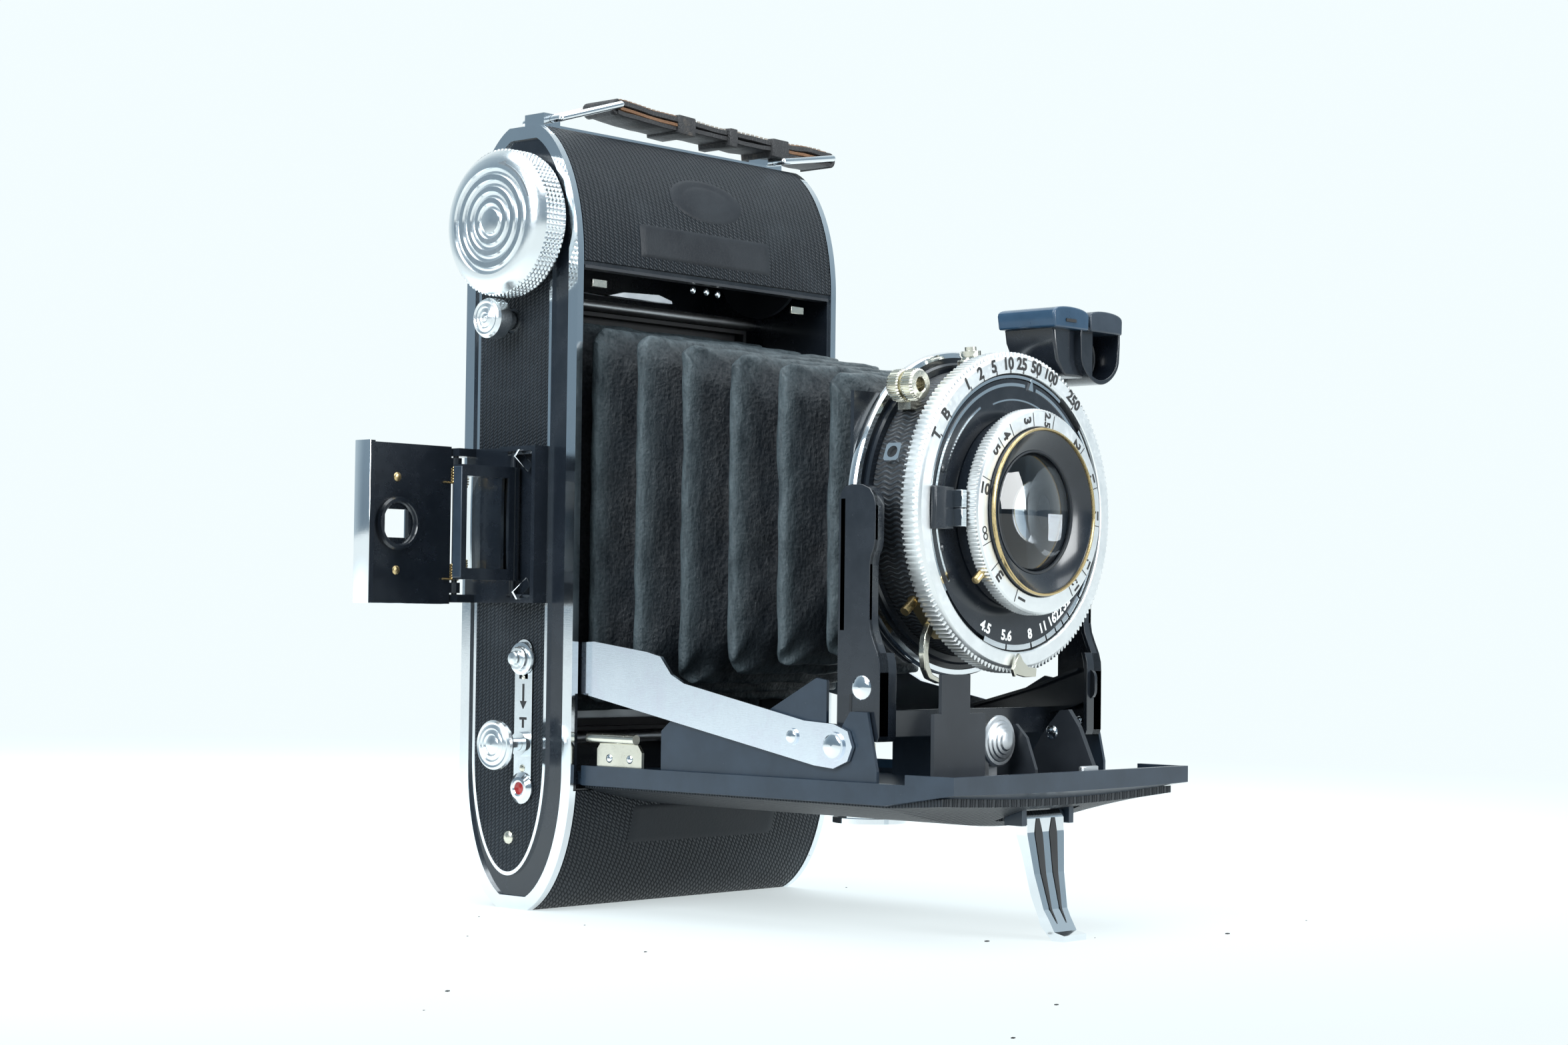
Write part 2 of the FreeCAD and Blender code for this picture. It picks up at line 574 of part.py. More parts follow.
node("window_cover", cut(box(-5.6, 5.6, 15.75, 16.35, 88.8, 100.6), rod("y", 0, 5, 91.4, 0.9, 20)))
node("back_latch", fuse(box(-9.0, 9.0, 4.2, 6.2, d.high - 0.6, d.high + 0.5), box(-3.0, 3.0, 4.2, 6.2, d.high + 0.5, d.high + 1.5)))


# ================================================================ bed (drop front)
def pan_wire(y, hx, rim, side, belly):
    arc = Part.Arc(V(hx, y, side), V(0, y, belly), V(-hx, y, side)).toShape()
    return Part.Wire([Part.LineSegment(V(-hx, y, rim), V(hx, y, rim)).toShape(), Part.LineSegment(V(hx, y, rim), V(hx, y, side)).toShape(),
                      arc, Part.LineSegment(V(-hx, y, side), V(-hx, y, rim)).toShape()])


def pan_solid(grow, up, y0, y2, rim_extra=0.0):
    """Outer form of the bed: straight from the hinge to the bend, then rising to the front."""
    hx = d.bed_half.v + grow
    y1 = d.bed_bend.v
    rim, rimf = d.bed_rim.v + rim_extra, d.bed_rim.v + rim_extra
    w0 = pan_wire(y0, hx, rim, d.bed_side.v + up, d.bed_belly.v + up)
    w1 = pan_wire(y1, hx, rim, d.bed_side.v + up, d.bed_belly.v + up)
    w2 = pan_wire(y2, hx, rimf, d.bed_front_side.v + up, d.bed_front_belly.v + up)
    return Part.makeLoft([w0, w1], True).fuse(Part.makeLoft([w1, w2], True))


sk_t = d.bed_skin.v
y0, y2 = d.bed_rear.v, d.bed_front.v
pan_out = pan_solid(0, 0, y0, y2)
pan_in = pan_solid(-sk_t, sk_t, y0 + 5, y2 + sk_t, 3.0)
pan = pan_out.cut(pan_in)
# raised lip along the front edge
lip = Part.makeBox(2 * d.bed_half.v, 1.1, 2.0, V(-d.bed_half.v, y2, d.bed_rim.v - 0.2))
lip = lip.fuse(Part.makeBox(1.1, 11.0, 2.0, V(-d.bed_half.v, y2, d.bed_rim.v - 0.2))).fuse(
    Part.makeBox(1.1, 11.0, 2.0, V(d.bed_half.v - 1.1, y2, d.bed_rim.v - 0.2)))
pan = pan.fuse(lip)
# hinge barrel and the web that carries it
hy, hz = d.hinge_y.v, d.hinge_z.v
bar_h = Part.makeCylinder(d.barrel_r.v, 2 * 35.6, V(-35.6, hy, hz), V(1, 0, 0))
web_h = Part.makeBox(2 * 35.6, 2.6, 1.2, V(-35.6, y0 - 0.6, hz - 1.2))
pan = pan.fuse(bar_h).fuse(web_h)
pan = pan.cut(Part.makeCylinder(d.pin_r.v + d.pin_gap.v, 80, V(-40, hy, hz), V(1, 0, 0)))
pan = pan.cut(Part.makeCylinder(d.bush_r.v, 10, V(0, d.bush_y.v, 15), V(0, 0, 1)))
foot_slot = Part.makeBox(13.0, 6.4, 6.0, V(-6.5, d.foot_y.v - 3.0, 17.0))
# two ears under the bed that hold the foot
ear_w = 1.4
ears = None
for sx in (-1, 1):
    e = Part.makeBox(ear_w, 4.0, 6.0, V(sx * 7.2 - ear_w / 2, d.foot_y.v - 2.0, d.foot_z.v - 1.6))
    ears = e if ears is None else ears.fuse(e)
pin_f = Part.makeCylinder(0.8, 14.4, V(-7.2, d.foot_y.v, d.foot_z.v), V(1, 0, 0))
pan_full = pan.fuse(ears.cut(pan_in)).fuse(pin_f)
pan_full = pan_full.cut(Part.makeCylinder(d.bush_r.v, 10, V(0, d.bush_y.v, 15), V(0, 0, 1))).removeSplitter()
bed_pan = node("bed_pan", shaped(pan_full))

lt = d.bed_leather.v
hide = pan_solid(-0.9, -lt, y0 - 0.4, y2, -3.2).cut(pan_solid(0, 0, y0 + 2, y2, 3.0))
hide = hide.common(Part.makeBox(80, 90.0, 30, V(-40, -106.2, 5)))
hide = hide.cut(Part.makeCylinder(d.bush_r.v + 1.4, 10, V(0, d.bush_y.v, 15), V(0, 0, 1)))
hide = hide.cut(Part.makeBox(17.0, 7.4, 14.0, V(-8.5, d.foot_y.v - 3.4, 14.0))).cut(pan_full)
node("bed_leather", shaped(hide))

node("tripod_bush", cut(fuse(rod("z", 0, d.bush_y, 19.4, d.bush_r - 0.01, 2.5), rod("z", 0, d.bush_y, 18.8, d.bush_r + 1.2, 1.0)),
                        rod("z", 0, d.bush_y, 10, d.bush_hole, 20.0)))

# side plates standing on the bed inside the rims
side = pad("YZ_Plane", -34.8, 0.7, [(-37.2, 25.6), (-91.0, 25.6), (-91.0, 31.0), (-88.6, 41.5), (-84.6, 41.5), (-81.5, 37.0), (-79.0, 36.5),
                                   (-79.0, 47.0), (-76.5, 47.4), (-63.5, 40.5), (-39.4, 38.2), (-37.2, 36.4)])
room = shaped(pan_solid(-sk_t, sk_t, y0 + 0.5, y2 + sk_t, 40.0))
room_tall = shaped(pan_solid(-sk_t, sk_t, y0 + 0.5, y2 + sk_t, 46.0))
left_plate = both(side, room)
small = pad("YZ_Plane", -34.8, 0.7, [(-19.8, 24.0), (-32.0, 24.0), (-32.0, 32.0), (-31.0, 33.4), (-20.6, 33.4), (-19.8, 32.4)])
left_small = both(small, room)
node("carrier_plates", group(left_plate, mirror(left_plate)))
tubes = fuse(rod("-y", -34.9, -17.6, 34.4, 1.0, 13.0), left_small)
node("spring_plungers", group(tubes, mirror(tubes)))

# low fittings at the front of the bed
ear = pad("YZ_Plane", 12.0, 1.2, [(-89.4, 20.0), (-104.6, 20.0), (-104.4, 31.0), (-101.0, 38.4), (-98.6, 41.6), (-96.6, 41.4), (-94.2, 38.8), (-92.4, 36.6), (-90.2, 33.4), (-89.6, 32.0)])
ear2 = pad("YZ_Plane", -4.0, 0.8, [(-90.4, 20.0), (-103.2, 20.0), (-103.0, 31.0), (-100.8, 36.8), (-98.4, 39.2), (-97.0, 39.0), (-95.2, 36.8), (-93.2, 34.6), (-91.2, 32.6), (-90.6, 31.8)])
ear3 = fuse(box(-29.0, -14.3, -99.4, -98.6, 20.0, 41.4), box(-27.0, -18.8, -99.4, -98.7, 41.0, 48.4))
node("bed_brackets", group(both(ear3, room_tall), both(ear, room), both(ear2, room)))
lk = turned("-y", -9.4, -97.4, 36.2, [(0.001, 0), (3.0, 0), (3.0, 0.6), (4.7, 0.7), (4.7, 1.6), (3.4, 2.2), (1.9, 3.0), (0.9, 3.4), (0.001, 3.4)])
post = both(box(-10.6, -8.2, -97.4, -96.2, 20, 38.0), room)
node("lock_knob", fuse(lk, post))

# fold-out foot under the front of the bed
ft = pad("YZ_Plane", -d.foot_half, d.foot_half * 2,
         [(-99.95, 22.5), (-100.5, 23.2), (-101.9, 23.45), (-102.4, 22.0), (-102.5, 19.5), (-103.4, 12.0), (-104.9, 5.5), (-107.2, 1.6), (-109.4, 1.1), (-109.4, 0.0),
          (-106.6, 0.0), (-104.0, 2.6), (-102.2, 8.0), (-101.0, 15.0), (-99.9, 19.2)])
taper = pad("XZ_Plane", 90, 30, [(-5.6, 26.0), (5.6, 26.0), (5.6, 19.0), (3.4, 4.0), (3.4, -1.0), (-3.4, -1.0), (-3.4, 4.0), (-5.6, 19.0)])
node("bed_foot", cut(both(ft, taper), rod("x", -10, d.foot_y, d.foot_z, 0.85, 20), bed_pan))

# struts from the body to the bed
sp = [(-3.6, 50.6), (-4.2, 45.2), (-8.0, 44.2), (-18.5, 42.6), (-77.0, 31.6), (-81.6, 31.2), (-84.9, 32.6), (-86.0, 35.2), (-84.9, 38.0),
      (-81.6, 39.2), (-74.5, 39.6), (-44.0, 45.6), (-40.6, 47.2), (-37.6, 50.6), (-34.0, 51.4), (-19.5, 53.2), (-8.0, 52.6)]
st = pad("YZ_Plane", -d.strut_in - d.strut_thick, d.strut_thick, sp, [(d.strut_y, d.strut_z, 1.05)])
heads = [rod("-x", -d.strut_in - d.strut_thick, -81.6, 35.2, 2.6, 0.45), rod("-x", -d.strut_in - d.strut_thick, -71.6, 36.6, 1.5, 0.4)]
stl = fuse(st, *heads)
node("strut_left", stl)
node("strut_right", mirror(stl))

# ================================================================ lens standard
arm_pts = [(d.arm_rear, 36.6), (d.arm_front, 43.8), (d.arm_front, 53.5), (-87.6, 57.0), (-87.6, 80.6), (-86.6, 82.1), (-83.0, 82.5), (-81.4, 81.6),
           (d.arm_rear, 80.6)]
arm = pad("YZ_Plane", -d.arm_out, d.arm_out - d.arm_in, arm_pts)
flange = pad("XZ_Plane", 86.6, 1.0, [(-33.8, 56.0), (-33.8, 80.8), (-32.4, 81.6), (-31.0, 80.8), (-28.4, 66.0), (-28.4, 56.0)])
left_arm = fuse(arm, flange, box(-d.arm_out, -27.0, d.arm_rear, d.arm_rear + 1.2, 46.0, 81.0))
right_arm = mirror(left_arm)
cross = box(-d.arm_out, d.arm_out, d.arm_rear, d.arm_rear + 1.2, 43.0, 52.0)
tab = box(18.0, 30.0, d.arm_rear, d.arm_rear + 1.2, 96.0, d.rf_low + 4)
ring_hole = rod("y", 0, d.arm_rear - 0.5, d.lens_z, d.back_r, 3)
node("standard_frame", cut(fuse(left_arm, right_arm, cross), ring_hole))
back_plate = cut(rod("-y", 0, d.arm_rear + 1.2, d.lens_z, d.back_r - 0.02, 1.2 + 0.4), rod("y", 0, -90, d.lens_z, 12.0, 20))
node("backing_plate", fuse(back_plate, cut(tab, rod("y", 0, -90, d.lens_z, d.back_r - 1.0, 20)), cut(box(-29.0, 29.0, d.arm_rear + 1.2, d.arm_rear + 2.0, 50.0, 100.0), rod("y", 0, -90, d.lens_z, 22.0, 20))))
hs = cut(rod("-y", 0, d.arm_rear - 0.4, d.lens_z, d.house_r, -(d.house_front - d.arm_rear) - 0.4), rod("y", 0, -100, d.lens_z, 12.05, 30))
node("shutter_housing", hs)
node("rear_cell", rod("-y", 0, -77.2, d.lens_z, 11.9, 5.0))
sr = cut(rod("-y", 0, d.house_front - 0.1, d.lens_z, d.ring_r, -(d.ring_front - d.house_front) - 0.1), rod("y", 0, -120, d.lens_z, d.ring_in, 40))
node("speed_ring", sr)
fp = cut(rod("-y", 0, d.house_front, d.lens_z, d.face_r, -(d.face_front - d.house_front)), rod("y", 0, -120, d.lens_z, 12.05, 40))
node("face_plate", fp)
fr = cut(
    fuse(rod("-y", 0, d.face_front - 0.15, d.lens_z, d.focus_r, -(d.focus_front - d.face_front) - 0.15), rod("-y", 0, -88.0, d.lens_z, 12.0, 9.0)),
    rod("y", 0, -120, d.lens_z, d.name_r, 22.4), rod("y", 0, -100, d.lens_z, d.glass_r, 30))
node("focus_ring", fr)
nr = cut(rod("-y", 0, -97.6, d.lens_z, d.name_r - 0.01, 4.4), cone("-y", 0, -98.6, d.lens_z, 11.0, 14.4, 3.5), rod("-y", 0, -90, d.lens_z, d.glass_r, 10))
node("name_ring", nr)
dome = new("Part::Sphere")
dome.Radius = 26.0
dome.setExpression("Radius", "26 + 0 * Dims.glass_r")
put(dome, 0, d.glass_y + 25.2, d.lens_z)
node("front_lens", both(rod("-y", 0, -93.6, d.lens_z, d.glass_r - 0.01, 8.0), dome))

sock_x, sock_z = -21.9, 101.1
sock = fuse(rod("-y", sock_x, -83.6, sock_z, 2.9, 3.4), rod("-y", sock_x, -83.6, sock_z, 2.2, 6.2))
lead = cut(box(sock_x, sock_x + 5.0, -87.0, -83.6, sock_z - 5.0, sock_z), rod("y", 0, -100, d.lens_z, d.house_r, 40))
node("cable_socket", cut(fuse(sock, lead), rod("-y", sock_x, -85.2, sock_z, 1.3, 8)))


def stub(angle, y, r0, r1, rr):
    a = math.radians(angle)
    return Part.makeCylinder(rr, r1 - r0, V(r0 * math.cos(a), y, zc + r0 * math.sin(a)), V(math.cos(a), 0, math.sin(a)))


hr = d.house_r.v
arc_pad = Part.makeCylinder(hr + 1.2, 2.4, V(0, -85.0, zc), V(0, -1, 0)).cut(Part.makeCylinder(hr + 0.05, 4, V(0, -84, zc), V(0, -1, 0)))
wedge = Part.makePolygon([V(0, -84, zc), V(60 * math.cos(math.radians(90)), -84, zc + 60), V(60 * math.cos(math.radians(101)), -84, zc + 60 * math.sin(math.radians(101))), V(0, -84, zc)])
wedge = Part.Face(wedge).extrude(V(0, -6, 0))
node("cocking_lever", shaped(arc_pad.common(wedge).fuse(stub(95.5, -86.2, hr + 0.6, hr + 4.4, 1.1)).fuse(stub(95.5, -86.2, hr + 2.6, hr + 3.6, 1.9))))
arc2 = Part.makeCylinder(hr + 1.0, 2.0, V(0, -87.6, zc), V(0, -1, 0)).cut(Part.makeCylinder(hr + 0.05, 4, V(0, -87, zc), V(0, -1, 0)))
w2 = Part.Face(Part.makePolygon([V(0, -87, zc), V(60 * math.cos(math.radians(216)), -87, zc + 60 * math.sin(math.radians(216))),
                                 V(60 * math.cos(math.radians(238)), -87, zc + 60 * math.sin(math.radians(238))), V(0, -87, zc)])).extrude(V(0, -6, 0))
node("release_lever", shaped(arc2.common(w2).fuse(stub(217.5, -88.6, hr + 0.5, hr + 4.0, 0.9))))
ap = Part.makeBox(2.4, 1.0, 6.0, V(-1.2, -96.9, zc - 27.6)).fuse(Part.makeBox(1.4, 1.0, 3.4, V(-0.7, -96.9, zc - 30.6)))
ap = ap.fuse(Part.makeCylinder(23.2, 0.6, V(0, -96.0, zc), V(0, -1, 0)).cut(Part.makeCylinder(19.9, 2, V(0, -95.5, zc), V(0, -1, 0))).common(
    Part.makeBox(24, 4, 10, V(-12, -98, zc - 25))))
node("aperture_pointer", shaped(ap.fuse(Part.makeBox(2.0, 1.2, 2.0, V(-1.0, -97.0, zc - 23.0))).removeSplitter()))

# reflex finder
rb = cut(box(d.rf_left, d.rf_right, d.rf_front, d.rf_rear, d.rf_low, d.rf_top),
         rod("-y", (d.rf_left + d.rf_right) / 2 + 2.5, d.rf_front + 3, 110.6, 4.6, 6))
rb = cut(rb, box(18.0, 30.0, d.arm_rear, d.arm_rear + 1.2, 90.0, d.rf_low + 4))
node("reflex_body", rb)
node("reflex_lens", rod("-y", (d.rf_left + d.rf_right) / 2 + 2.5, d.rf_front + 3, 110.6, 4.55, 2.2))
node("reflex_top", box(d.rf_left - 0.6, d.rf_right + 0.3, d.rf_front - 0.6, d.rf_rear, d.rf_top, d.rf_top + 1.3))

# ================================================================ check and write
doc.recompute()
bad = []
for o in doc.Objects:
    if "Invalid" in o.State or "Error" in o.State:
        bad.append("%s %s %s" % (o.Name, o.Label, o.State))
for o in NODES:
    s = o.Shape
    if s.isNull() or not s.isValid() or not s.Solids:
        bad.append("%s shape null, invalid or no solid" % o.Label)
if bad:
    raise RuntimeError("; ".join(bad))
for f in os.listdir("parts"):
    if f.endswith(".step"):
        os.remove(os.path.join("parts", f))
for o in NODES:
    o.Shape.exportStep("parts/%s.step" % o.Label)
    print("%-22s solids %d volume %.1f" % (o.Label, len(o.Shape.Solids), o.Shape.Volume))
print(len(NODES), "nodes")
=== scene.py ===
import bpy
import math
import random
from mathutils import Vector, Matrix, noise


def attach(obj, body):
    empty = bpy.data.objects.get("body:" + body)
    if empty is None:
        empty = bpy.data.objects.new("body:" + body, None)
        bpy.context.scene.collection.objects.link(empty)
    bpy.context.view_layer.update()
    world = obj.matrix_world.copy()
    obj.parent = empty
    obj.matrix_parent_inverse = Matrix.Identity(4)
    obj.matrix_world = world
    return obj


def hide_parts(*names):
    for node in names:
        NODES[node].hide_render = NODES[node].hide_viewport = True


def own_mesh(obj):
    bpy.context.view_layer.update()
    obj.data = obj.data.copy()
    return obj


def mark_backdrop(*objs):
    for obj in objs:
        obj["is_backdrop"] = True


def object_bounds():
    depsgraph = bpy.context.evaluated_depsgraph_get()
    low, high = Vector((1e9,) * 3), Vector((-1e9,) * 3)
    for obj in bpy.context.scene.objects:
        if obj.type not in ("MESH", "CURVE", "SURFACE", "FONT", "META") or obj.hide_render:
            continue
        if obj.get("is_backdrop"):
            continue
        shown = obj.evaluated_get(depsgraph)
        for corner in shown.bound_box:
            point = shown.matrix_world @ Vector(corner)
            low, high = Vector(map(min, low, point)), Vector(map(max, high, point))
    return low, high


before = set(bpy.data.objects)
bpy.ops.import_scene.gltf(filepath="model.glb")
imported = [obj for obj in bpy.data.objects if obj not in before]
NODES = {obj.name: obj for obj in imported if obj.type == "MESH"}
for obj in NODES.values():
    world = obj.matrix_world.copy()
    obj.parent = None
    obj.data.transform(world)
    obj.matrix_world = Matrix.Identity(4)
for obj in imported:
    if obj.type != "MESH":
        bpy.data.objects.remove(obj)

MM = 0.001
first_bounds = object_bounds()
rnd = random.Random(7)
LZ = 78.4          # height of the lens axis


# ============================================================ materials
class Mat:
    def __init__(self, name):
        self.m = bpy.data.materials.new(name)
        self.m.use_nodes = True
        self.nt = self.m.node_tree
        self.b = self.nt.nodes["Principled BSDF"]

    def n(self, kind, **inputs):
        node = self.nt.nodes.new(kind)
        for k, v in inputs.items():
            if k.startswith("_"):
                setattr(node, k[1:], v)
                continue
            sock = node.inputs[int(k[1:])] if k[0] == "i" and k[1:].isdigit() else node.inputs[k.replace("_", " ")]
            if isinstance(v, bpy.types.NodeSocket):
                self.nt.links.new(v, sock)
            else:
                sock.default_value = v
        return node

    def math(self, op, a, b=None, c=None):
        node = self.nt.nodes.new("ShaderNodeMath")
        node.operation = op
        for i, v in enumerate((a, b, c)):
            if v is None:
                continue
            if isinstance(v, bpy.types.NodeSocket):
                self.nt.links.new(v, node.inputs[i])
            else:
                node.inputs[i].default_value = v
        return node.outputs[0]

    def set(self, **kw):
        for k, v in kw.items():
            sock = self.b.inputs[k.replace("_", " ")]
            if isinstance(v, bpy.types.NodeSocket):
                self.nt.links.new(v, sock)
            else:
                sock.default_value = v
        return self

    def coord(self):
        tc = self.nt.nodes.new("ShaderNodeTexCoord")
        sep = self.n("ShaderNodeSeparateXYZ", i0=tc.outputs["Object"])
        return tc.outputs["Object"], sep.outputs[0], sep.outputs[1], sep.outputs[2]

    def noise(self, scale, detail=4.0, rough=0.6, vec=None):
        if vec is None:
            vec = self.coord()[0]
        return self.n("ShaderNodeTexNoise", Vector=vec, Scale=scale, Detail=detail, Roughness=rough).outputs[0]

    def ramp(self, fac, stops):
        r = self.nt.nodes.new("ShaderNodeValToRGB")
        self.nt.links.new(fac, r.inputs[0])
        els = r.color_ramp.elements
        els[0].position, els[0].color = stops[0][0], (*stops[0][1], 1)
        els[1].position, els[1].color = stops[-1][0], (*stops[-1][1], 1)
        for p, c in stops[1:-1]:
            e = els.new(p)
            e.color = (*c, 1)
        return r.outputs[0]

    def range(self, v, a, b, c, d):
        return self.n("ShaderNodeMapRange", Value=v, From_Min=a, From_Max=b, To_Min=c, To_Max=d).outputs[0]

    def bump(self, height, dist, strength=1.0, normal=None):
        node = self.n("ShaderNodeBump", Height=height, Distance=dist, Strength=strength)
        if normal is not None:
            self.nt.links.new(normal, node.inputs["Normal"])
        return node.outputs[0]


def col(r, g, b):
    return (r, g, b, 1.0)


def weave_mat(name, u_axis, v_axis, base=(0.007, 0.010, 0.014), pitch=1.22, stitch=0.72, depth=0.17):
    """Leather pressed with upright rows of small slanted stitches."""
    m = Mat(name)
    vec, x, y, z = m.coord()
    ax = {"x": x, "y": y, "z": z}
    u = m.math("DIVIDE", ax[u_axis], pitch * MM)
    v = m.math("DIVIDE", ax[v_axis], stitch * MM)
    wob = m.math("MULTIPLY", m.noise(260.0, 2.0, 0.5, vec), 0.55)
    u = m.math("ADD", u, wob)
    fu = m.math("FRACT", u)
    cu = m.math("FLOOR", u)
    v = m.math("ADD", v, m.math("MULTIPLY", fu, 1.1))
    v = m.math("ADD", v, m.math("MULTIPLY", m.math("MODULO", cu, 2.0), 0.5))
    fv = m.math("FRACT", v)
    tu = m.math("ABSOLUTE", m.math("SUBTRACT", m.math("MULTIPLY", fu, 2.0), 1.0))
    tv = m.math("ABSOLUTE", m.math("SUBTRACT", m.math("MULTIPLY", fv, 2.0), 1.0))
    hu = m.math("SUBTRACT", 1.0, m.math("POWER", tu, 2.6))
    hv = m.math("SUBTRACT", 1.0, m.math("POWER", tv, 2.0))
    h = m.math("MULTIPLY", hu, hv)
    fine = m.noise(5200.0, 3.0, 0.7, vec)
    broad = m.noise(70.0, 5.0, 0.65, vec)
    h = m.math("ADD", h, m.math("MULTIPLY", fine, 0.35))
    worn = m.range(broad, 0.52, 0.75, 0.0, 1.0)
    # painted shade: the weave's low grooves are coloured darker and its raised stitches lighter, by the height h
    c0 = m.n("ShaderNodeMix", _data_type="RGBA", i0=h, i6=col(*[0.45 * k for k in base]), i7=col(*[1.5 * k for k in base])).outputs[2]
    c1 = m.n("ShaderNodeMix", _data_type="RGBA", i0=m.math("MULTIPLY", worn, 0.35), i6=c0, i7=col(0.030, 0.038, 0.047)).outputs[2]
    m.set(Base_Color=c1, Roughness=m.range(h, 0.0, 1.1, 0.60, 0.30), Specular_IOR_Level=m.range(h, 0.1, 1.0, 0.08, 0.42),
          Normal=m.bump(h, depth * MM, 0.9))
    return m.m


def metal_mat(name, color, rough=0.1, var=0.06, scratch=0.25, aniso=0.0, tint=None):
    m = Mat(name)
    vec, x, y, z = m.coord()
    n1 = m.noise(90.0, 5.0, 0.7, vec)
    n2 = m.noise(1900.0, 3.0, 0.6, vec)
    st = m.n("ShaderNodeMapping", Vector=vec, Scale=(1.0, 1.0, 9.0)).outputs[0]
    n3 = m.noise(700.0, 2.0, 0.5, st)
    r = m.math("ADD", m.range(n1, 0.3, 0.75, rough, rough + var), m.range(n2, 0.45, 0.8, 0.0, var * 0.7))
    c = m.n("ShaderNodeMix", _data_type="RGBA", i0=m.range(n1, 0.45, 0.8, 0.0, 0.5), i6=col(*color), i7=col(*(tint or [0.86 * k for k in color]))).outputs[2]
    m.set(Base_Color=c, Metallic=1.0, Roughness=r, Anisotropic=aniso, Normal=m.bump(n3, 0.004 * MM, scratch))
    return m.m


def paint_mat(name, color, rough=0.25, coat=0.4, bump=0.012, scale=900.0, wear=0.0, edge=(0.5, 0.5, 0.48), spec=0.5):
    m = Mat(name)
    vec, x, y, z = m.coord()
    n1 = m.noise(scale, 3.0, 0.6, vec)
    n2 = m.noise(110.0, 6.0, 0.72, vec)
    dust = m.n("ShaderNodeTexVoronoi", Vector=vec, Scale=420.0).outputs[0]
    speck = m.range(dust, 0.02, 0.05, 1.0, 0.0)
    base = m.n("ShaderNodeMix", _data_type="RGBA", i0=m.range(n2, 0.4, 0.75, 0.0, 0.6), i6=col(*color), i7=col(*[k * 1.7 + 0.003 for k in color])).outputs[2]
    base = m.n("ShaderNodeMix", _data_type="RGBA", i0=m.math("MULTIPLY", speck, 0.10), i6=base, i7=col(0.35, 0.36, 0.38)).outputs[2]
    if wear > 0:
        w = m.range(m.noise(240.0, 8.0, 0.8, vec), 0.66, 0.72, 0.0, wear)
        base = m.n("ShaderNodeMix", _data_type="RGBA", i0=w, i6=base, i7=col(*edge)).outputs[2]
    m.set(Base_Color=base, Roughness=m.range(n2, 0.3, 0.8, rough, rough + 0.14), Coat_Weight=coat, Coat_Roughness=0.12,
          Specular_IOR_Level=spec, Normal=m.bump(n1, bump * MM, 0.6))
    return m.m


def glass_mat(name, color=(1, 1, 1), rough=0.0, ior=1.5):
    m = Mat(name)
    vec, x, y, z = m.coord()
    n1 = m.noise(300.0, 6.0, 0.75, vec)
    m.set(Base_Color=col(*color), Roughness=m.range(n1, 0.5, 0.8, rough, rough + 0.05), Transmission_Weight=1.0, IOR=ior,
          Specular_IOR_Level=0.6, Coat_Weight=0.2, Normal=m.bump(n1, 0.002 * MM, 0.3))
    return m.m


M = {}
M["front_hide"] = weave_mat("front_hide", "x", "z")
M["side_hide"] = weave_mat("side_hide", "y", "z", pitch=1.15)
M["bed_hide"] = weave_mat("bed_hide", "x", "y")
M["chrome"] = metal_mat("chrome", (0.86, 0.90, 0.93), 0.07, 0.05)
M["chrome_rough"] = metal_mat("chrome_rough", (0.84, 0.88, 0.90), 0.16, 0.10, 0.5)
M["strut_chrome"] = metal_mat("strut_chrome", (0.80, 0.86, 0.93), 0.12, 0.08, 0.5, tint=(0.80, 0.74, 0.86))
M["nickel"] = metal_mat("nickel", (0.80, 0.77, 0.66), 0.16, 0.12, 0.5, tint=(0.62, 0.56, 0.42))
M["brass"] = metal_mat("brass", (0.72, 0.55, 0.28), 0.22, 0.14, 0.6, tint=(0.42, 0.30, 0.14))
M["dial"] = metal_mat("dial", (0.88, 0.90, 0.90), 0.30, 0.12, 0.4)
M["steel"] = metal_mat("steel", (0.52, 0.54, 0.56), 0.26, 0.16, 0.7)
M["black"] = paint_mat("black", (0.007, 0.010, 0.015), 0.20, 0.45, 0.010)
M["black_satin"] = paint_mat("black_satin", (0.010, 0.013, 0.018), 0.38, 0.1, 0.02, 1500.0, wear=0.12)
M["black_inner"] = paint_mat("black_inner", (0.006, 0.007, 0.009), 0.55, 0.0, 0.03, 1700.0, wear=0.05)
M["blue_black"] = paint_mat("blue_black", (0.012, 0.022, 0.036), 0.34, 0.25, 0.012, 1200.0, wear=0.05)
# painted highlight: a lighter blue-black that stands in for the bluish light caught on the bed rims and the reflex
# cap's left lobe
M["blue_painted_highlight"] = paint_mat("blue_painted_highlight", (0.016, 0.045, 0.085), 0.25, 0.4, 0.012, 1200.0, wear=0.05)
M["white_ink"] = paint_mat("white_ink", (0.80, 0.82, 0.82), 0.5, 0.0, 0.01)
M["black_ink"] = paint_mat("black_ink", (0.012, 0.012, 0.013), 0.45, 0.0, 0.01)
M["red"] = paint_mat("red", (0.42, 0.010, 0.008), 0.2, 0.6, 0.01)
M["glass"] = glass_mat("glass")
M["blue_glass"] = glass_mat("blue_glass", (0.86, 0.93, 1.0), 0.0, 1.62)
M["finder_glass"] = glass_mat("finder_glass", (0.94, 0.98, 1.0), 0.0, 1.45)


def smoky():
    m = Mat("dark_glass")
    vec, x, y, z = m.coord()
    n1 = m.noise(120.0, 4.0, 0.6, vec)
    m.set(Base_Color=m.ramp(n1, [(0.3, (0.015, 0.02, 0.035)), (0.7, (0.03, 0.04, 0.07))]), Roughness=0.03, Coat_Weight=1.0, Coat_Roughness=0.01,
          Specular_IOR_Level=0.9)
    return m.m


M["dark_glass"] = smoky()


